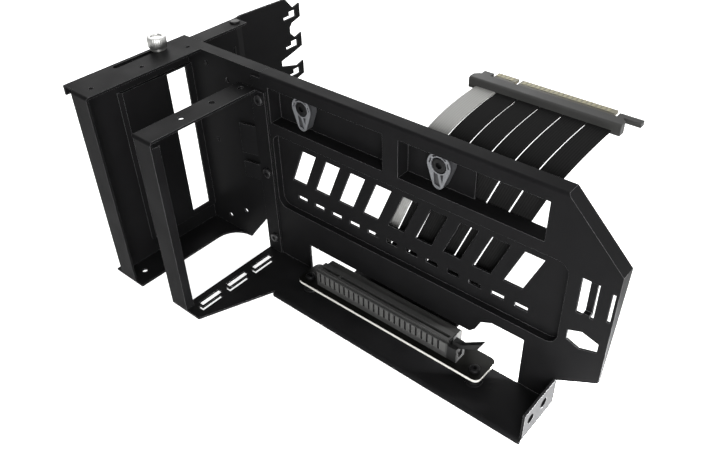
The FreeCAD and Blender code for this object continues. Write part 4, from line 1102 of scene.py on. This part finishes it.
SHEETS = SolidPieces("sheets", {
    "main_plate": Finish.BLACK_SHEET,
    "card_frame": Finish.BLACK_SHEET,
    "rear_frame": Finish.BLACK_SHEET,
    "slot_plate": Finish.BLACK_SHEET,
}, edge=0.22 * MM, worn=Finish.PAINTED_EDGE_HIGHLIGHT)
STANDOFFS = SolidPieces("standoffs", {
    "riser_standoffs": Finish.DARK_SCREW,
}, edge=0.1 * MM)
CLIPS = SolidPieces("clips", {
    "clip_left": Finish.GREY_CLIP,
    "clip_right": Finish.GREY_CLIP,
}, edge=0.12 * MM)
RISER = SolidPieces("riser", {
    "riser_board": Finish.BOARD,
    "card_slot": Finish.SLOT_PLASTIC,
    "slot_contacts": Finish.GOLD,
    "slot_latch": Finish.LATCH_PLASTIC,
    "ribbon_clamp": Finish.PLUG_PLASTIC,
}, edge=0.1 * MM)
PLUG = SolidPieces("plug", {
    "plug_body": Finish.PLUG_PLASTIC,
    "plug_board": Finish.PLUG_BOARD,
    "plug_fingers": Finish.GOLD,
}, edge=0.1 * MM)

SHANK = 1.5 * MM
STRAP_SCREWS = Fasteners(
    "strap_screw", "frame_screws", Body.CARRIAGE, Finish.DARK_SCREW, Facing.FRONT,
    tuple(point_mm(48.3, -1.2, level) for level in (14.0, 60.5, 107.0)),
    head=3.0 * MM, high=2.0 * MM, shank=SHANK, long=4.8 * MM, rounding=0.7 * MM,
    socket=1.26 * MM, socket_deep=1.2 * MM)
CLIP_SCREWS = Fasteners(
    "clip_screw", "clip_screws", Body.CARRIAGE, Finish.BLACK_SCREW, Facing.FRONT,
    tuple(point_mm(across, 5.1, 108.0) for across in (74.8, 161.8)),
    head=3.8 * MM, high=2.2 * MM, shank=SHANK, long=4.5 * MM, rounding=0.5 * MM,
    socket=1.6 * MM, socket_deep=1.3 * MM)
BOARD_SCREWS = Fasteners(
    "board_screw", "riser_screws", Body.CARRIAGE, Finish.BLACK_SCREW, Facing.UP,
    tuple(point_mm(across, -13.0, 11.0) for across in (88.0, 199.6)),
    head=2.7 * MM, high=1.8 * MM, shank=SHANK, long=5.6 * MM, rounding=0.6 * MM,
    socket=1.13 * MM, socket_deep=1.08 * MM)
STOP_RIVET = Fasteners(
    "stop_rivet_head", "stop_rivet", Body.BASE, Finish.BLACK_SCREW, Facing.UP,
    (point_mm(-15.0, 40.5, 120.7),),
    head=3.2 * MM, high=1.2 * MM, shank=SHANK, long=2.0 * MM, rounding=0.9 * MM)
THUMB = ThumbKnob(
    "thumb_knob", "thumbscrew", Body.THUMB, Finish.BRIGHT_SCREW, Facing.UP,
    (point_mm(-19.0, -13.0, 122.1),),
    head=5.3 * MM, high=7.5 * MM, shank=SHANK, long=7.4 * MM, rounding=0.45 * MM, slot="bright_screw")

LAMPS = (
    Softbox("back_softbox", (-0.72, 0.68, 0.72), side=0.9, power=11.0),
    Softbox("back_right_softbox", (0.45, 0.55, 0.35), side=0.5, power=2.0),
    Softbox("top_softbox", (0.15, 0.05, 1.25), side=0.9, power=4.0),
    Softbox("right_softbox", (0.32, 0.14, -0.03), side=0.06, power=0.75,
            aim=(0.106, -0.005, -0.06), spread=30.0),
    Softbox("front_right_softbox", (0.36, -0.36, 0.16), side=0.3, power=4.0),
)


def main() -> None:
    """Build and dress every sub-assembly, then the studio."""
    logging.basicConfig(level=logging.INFO, format="%(name)s: %(message)s")
    bpy.context.scene.view_settings.view_transform = "Standard"
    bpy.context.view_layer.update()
    book = FinishBook()
    for group in (SHEETS, STANDOFFS, CLIPS, RISER, PLUG):
        group.build()
        group.dress(book)
    for kind in (STRAP_SCREWS, CLIP_SCREWS, BOARD_SCREWS, STOP_RIVET, THUMB):
        kind.dress(book, kind.build())
    ribbon = Ribbon()
    ribbon.dress(book, ribbon.build())
    Studio(LAMPS).build()


if __name__ == "__main__":
    main()
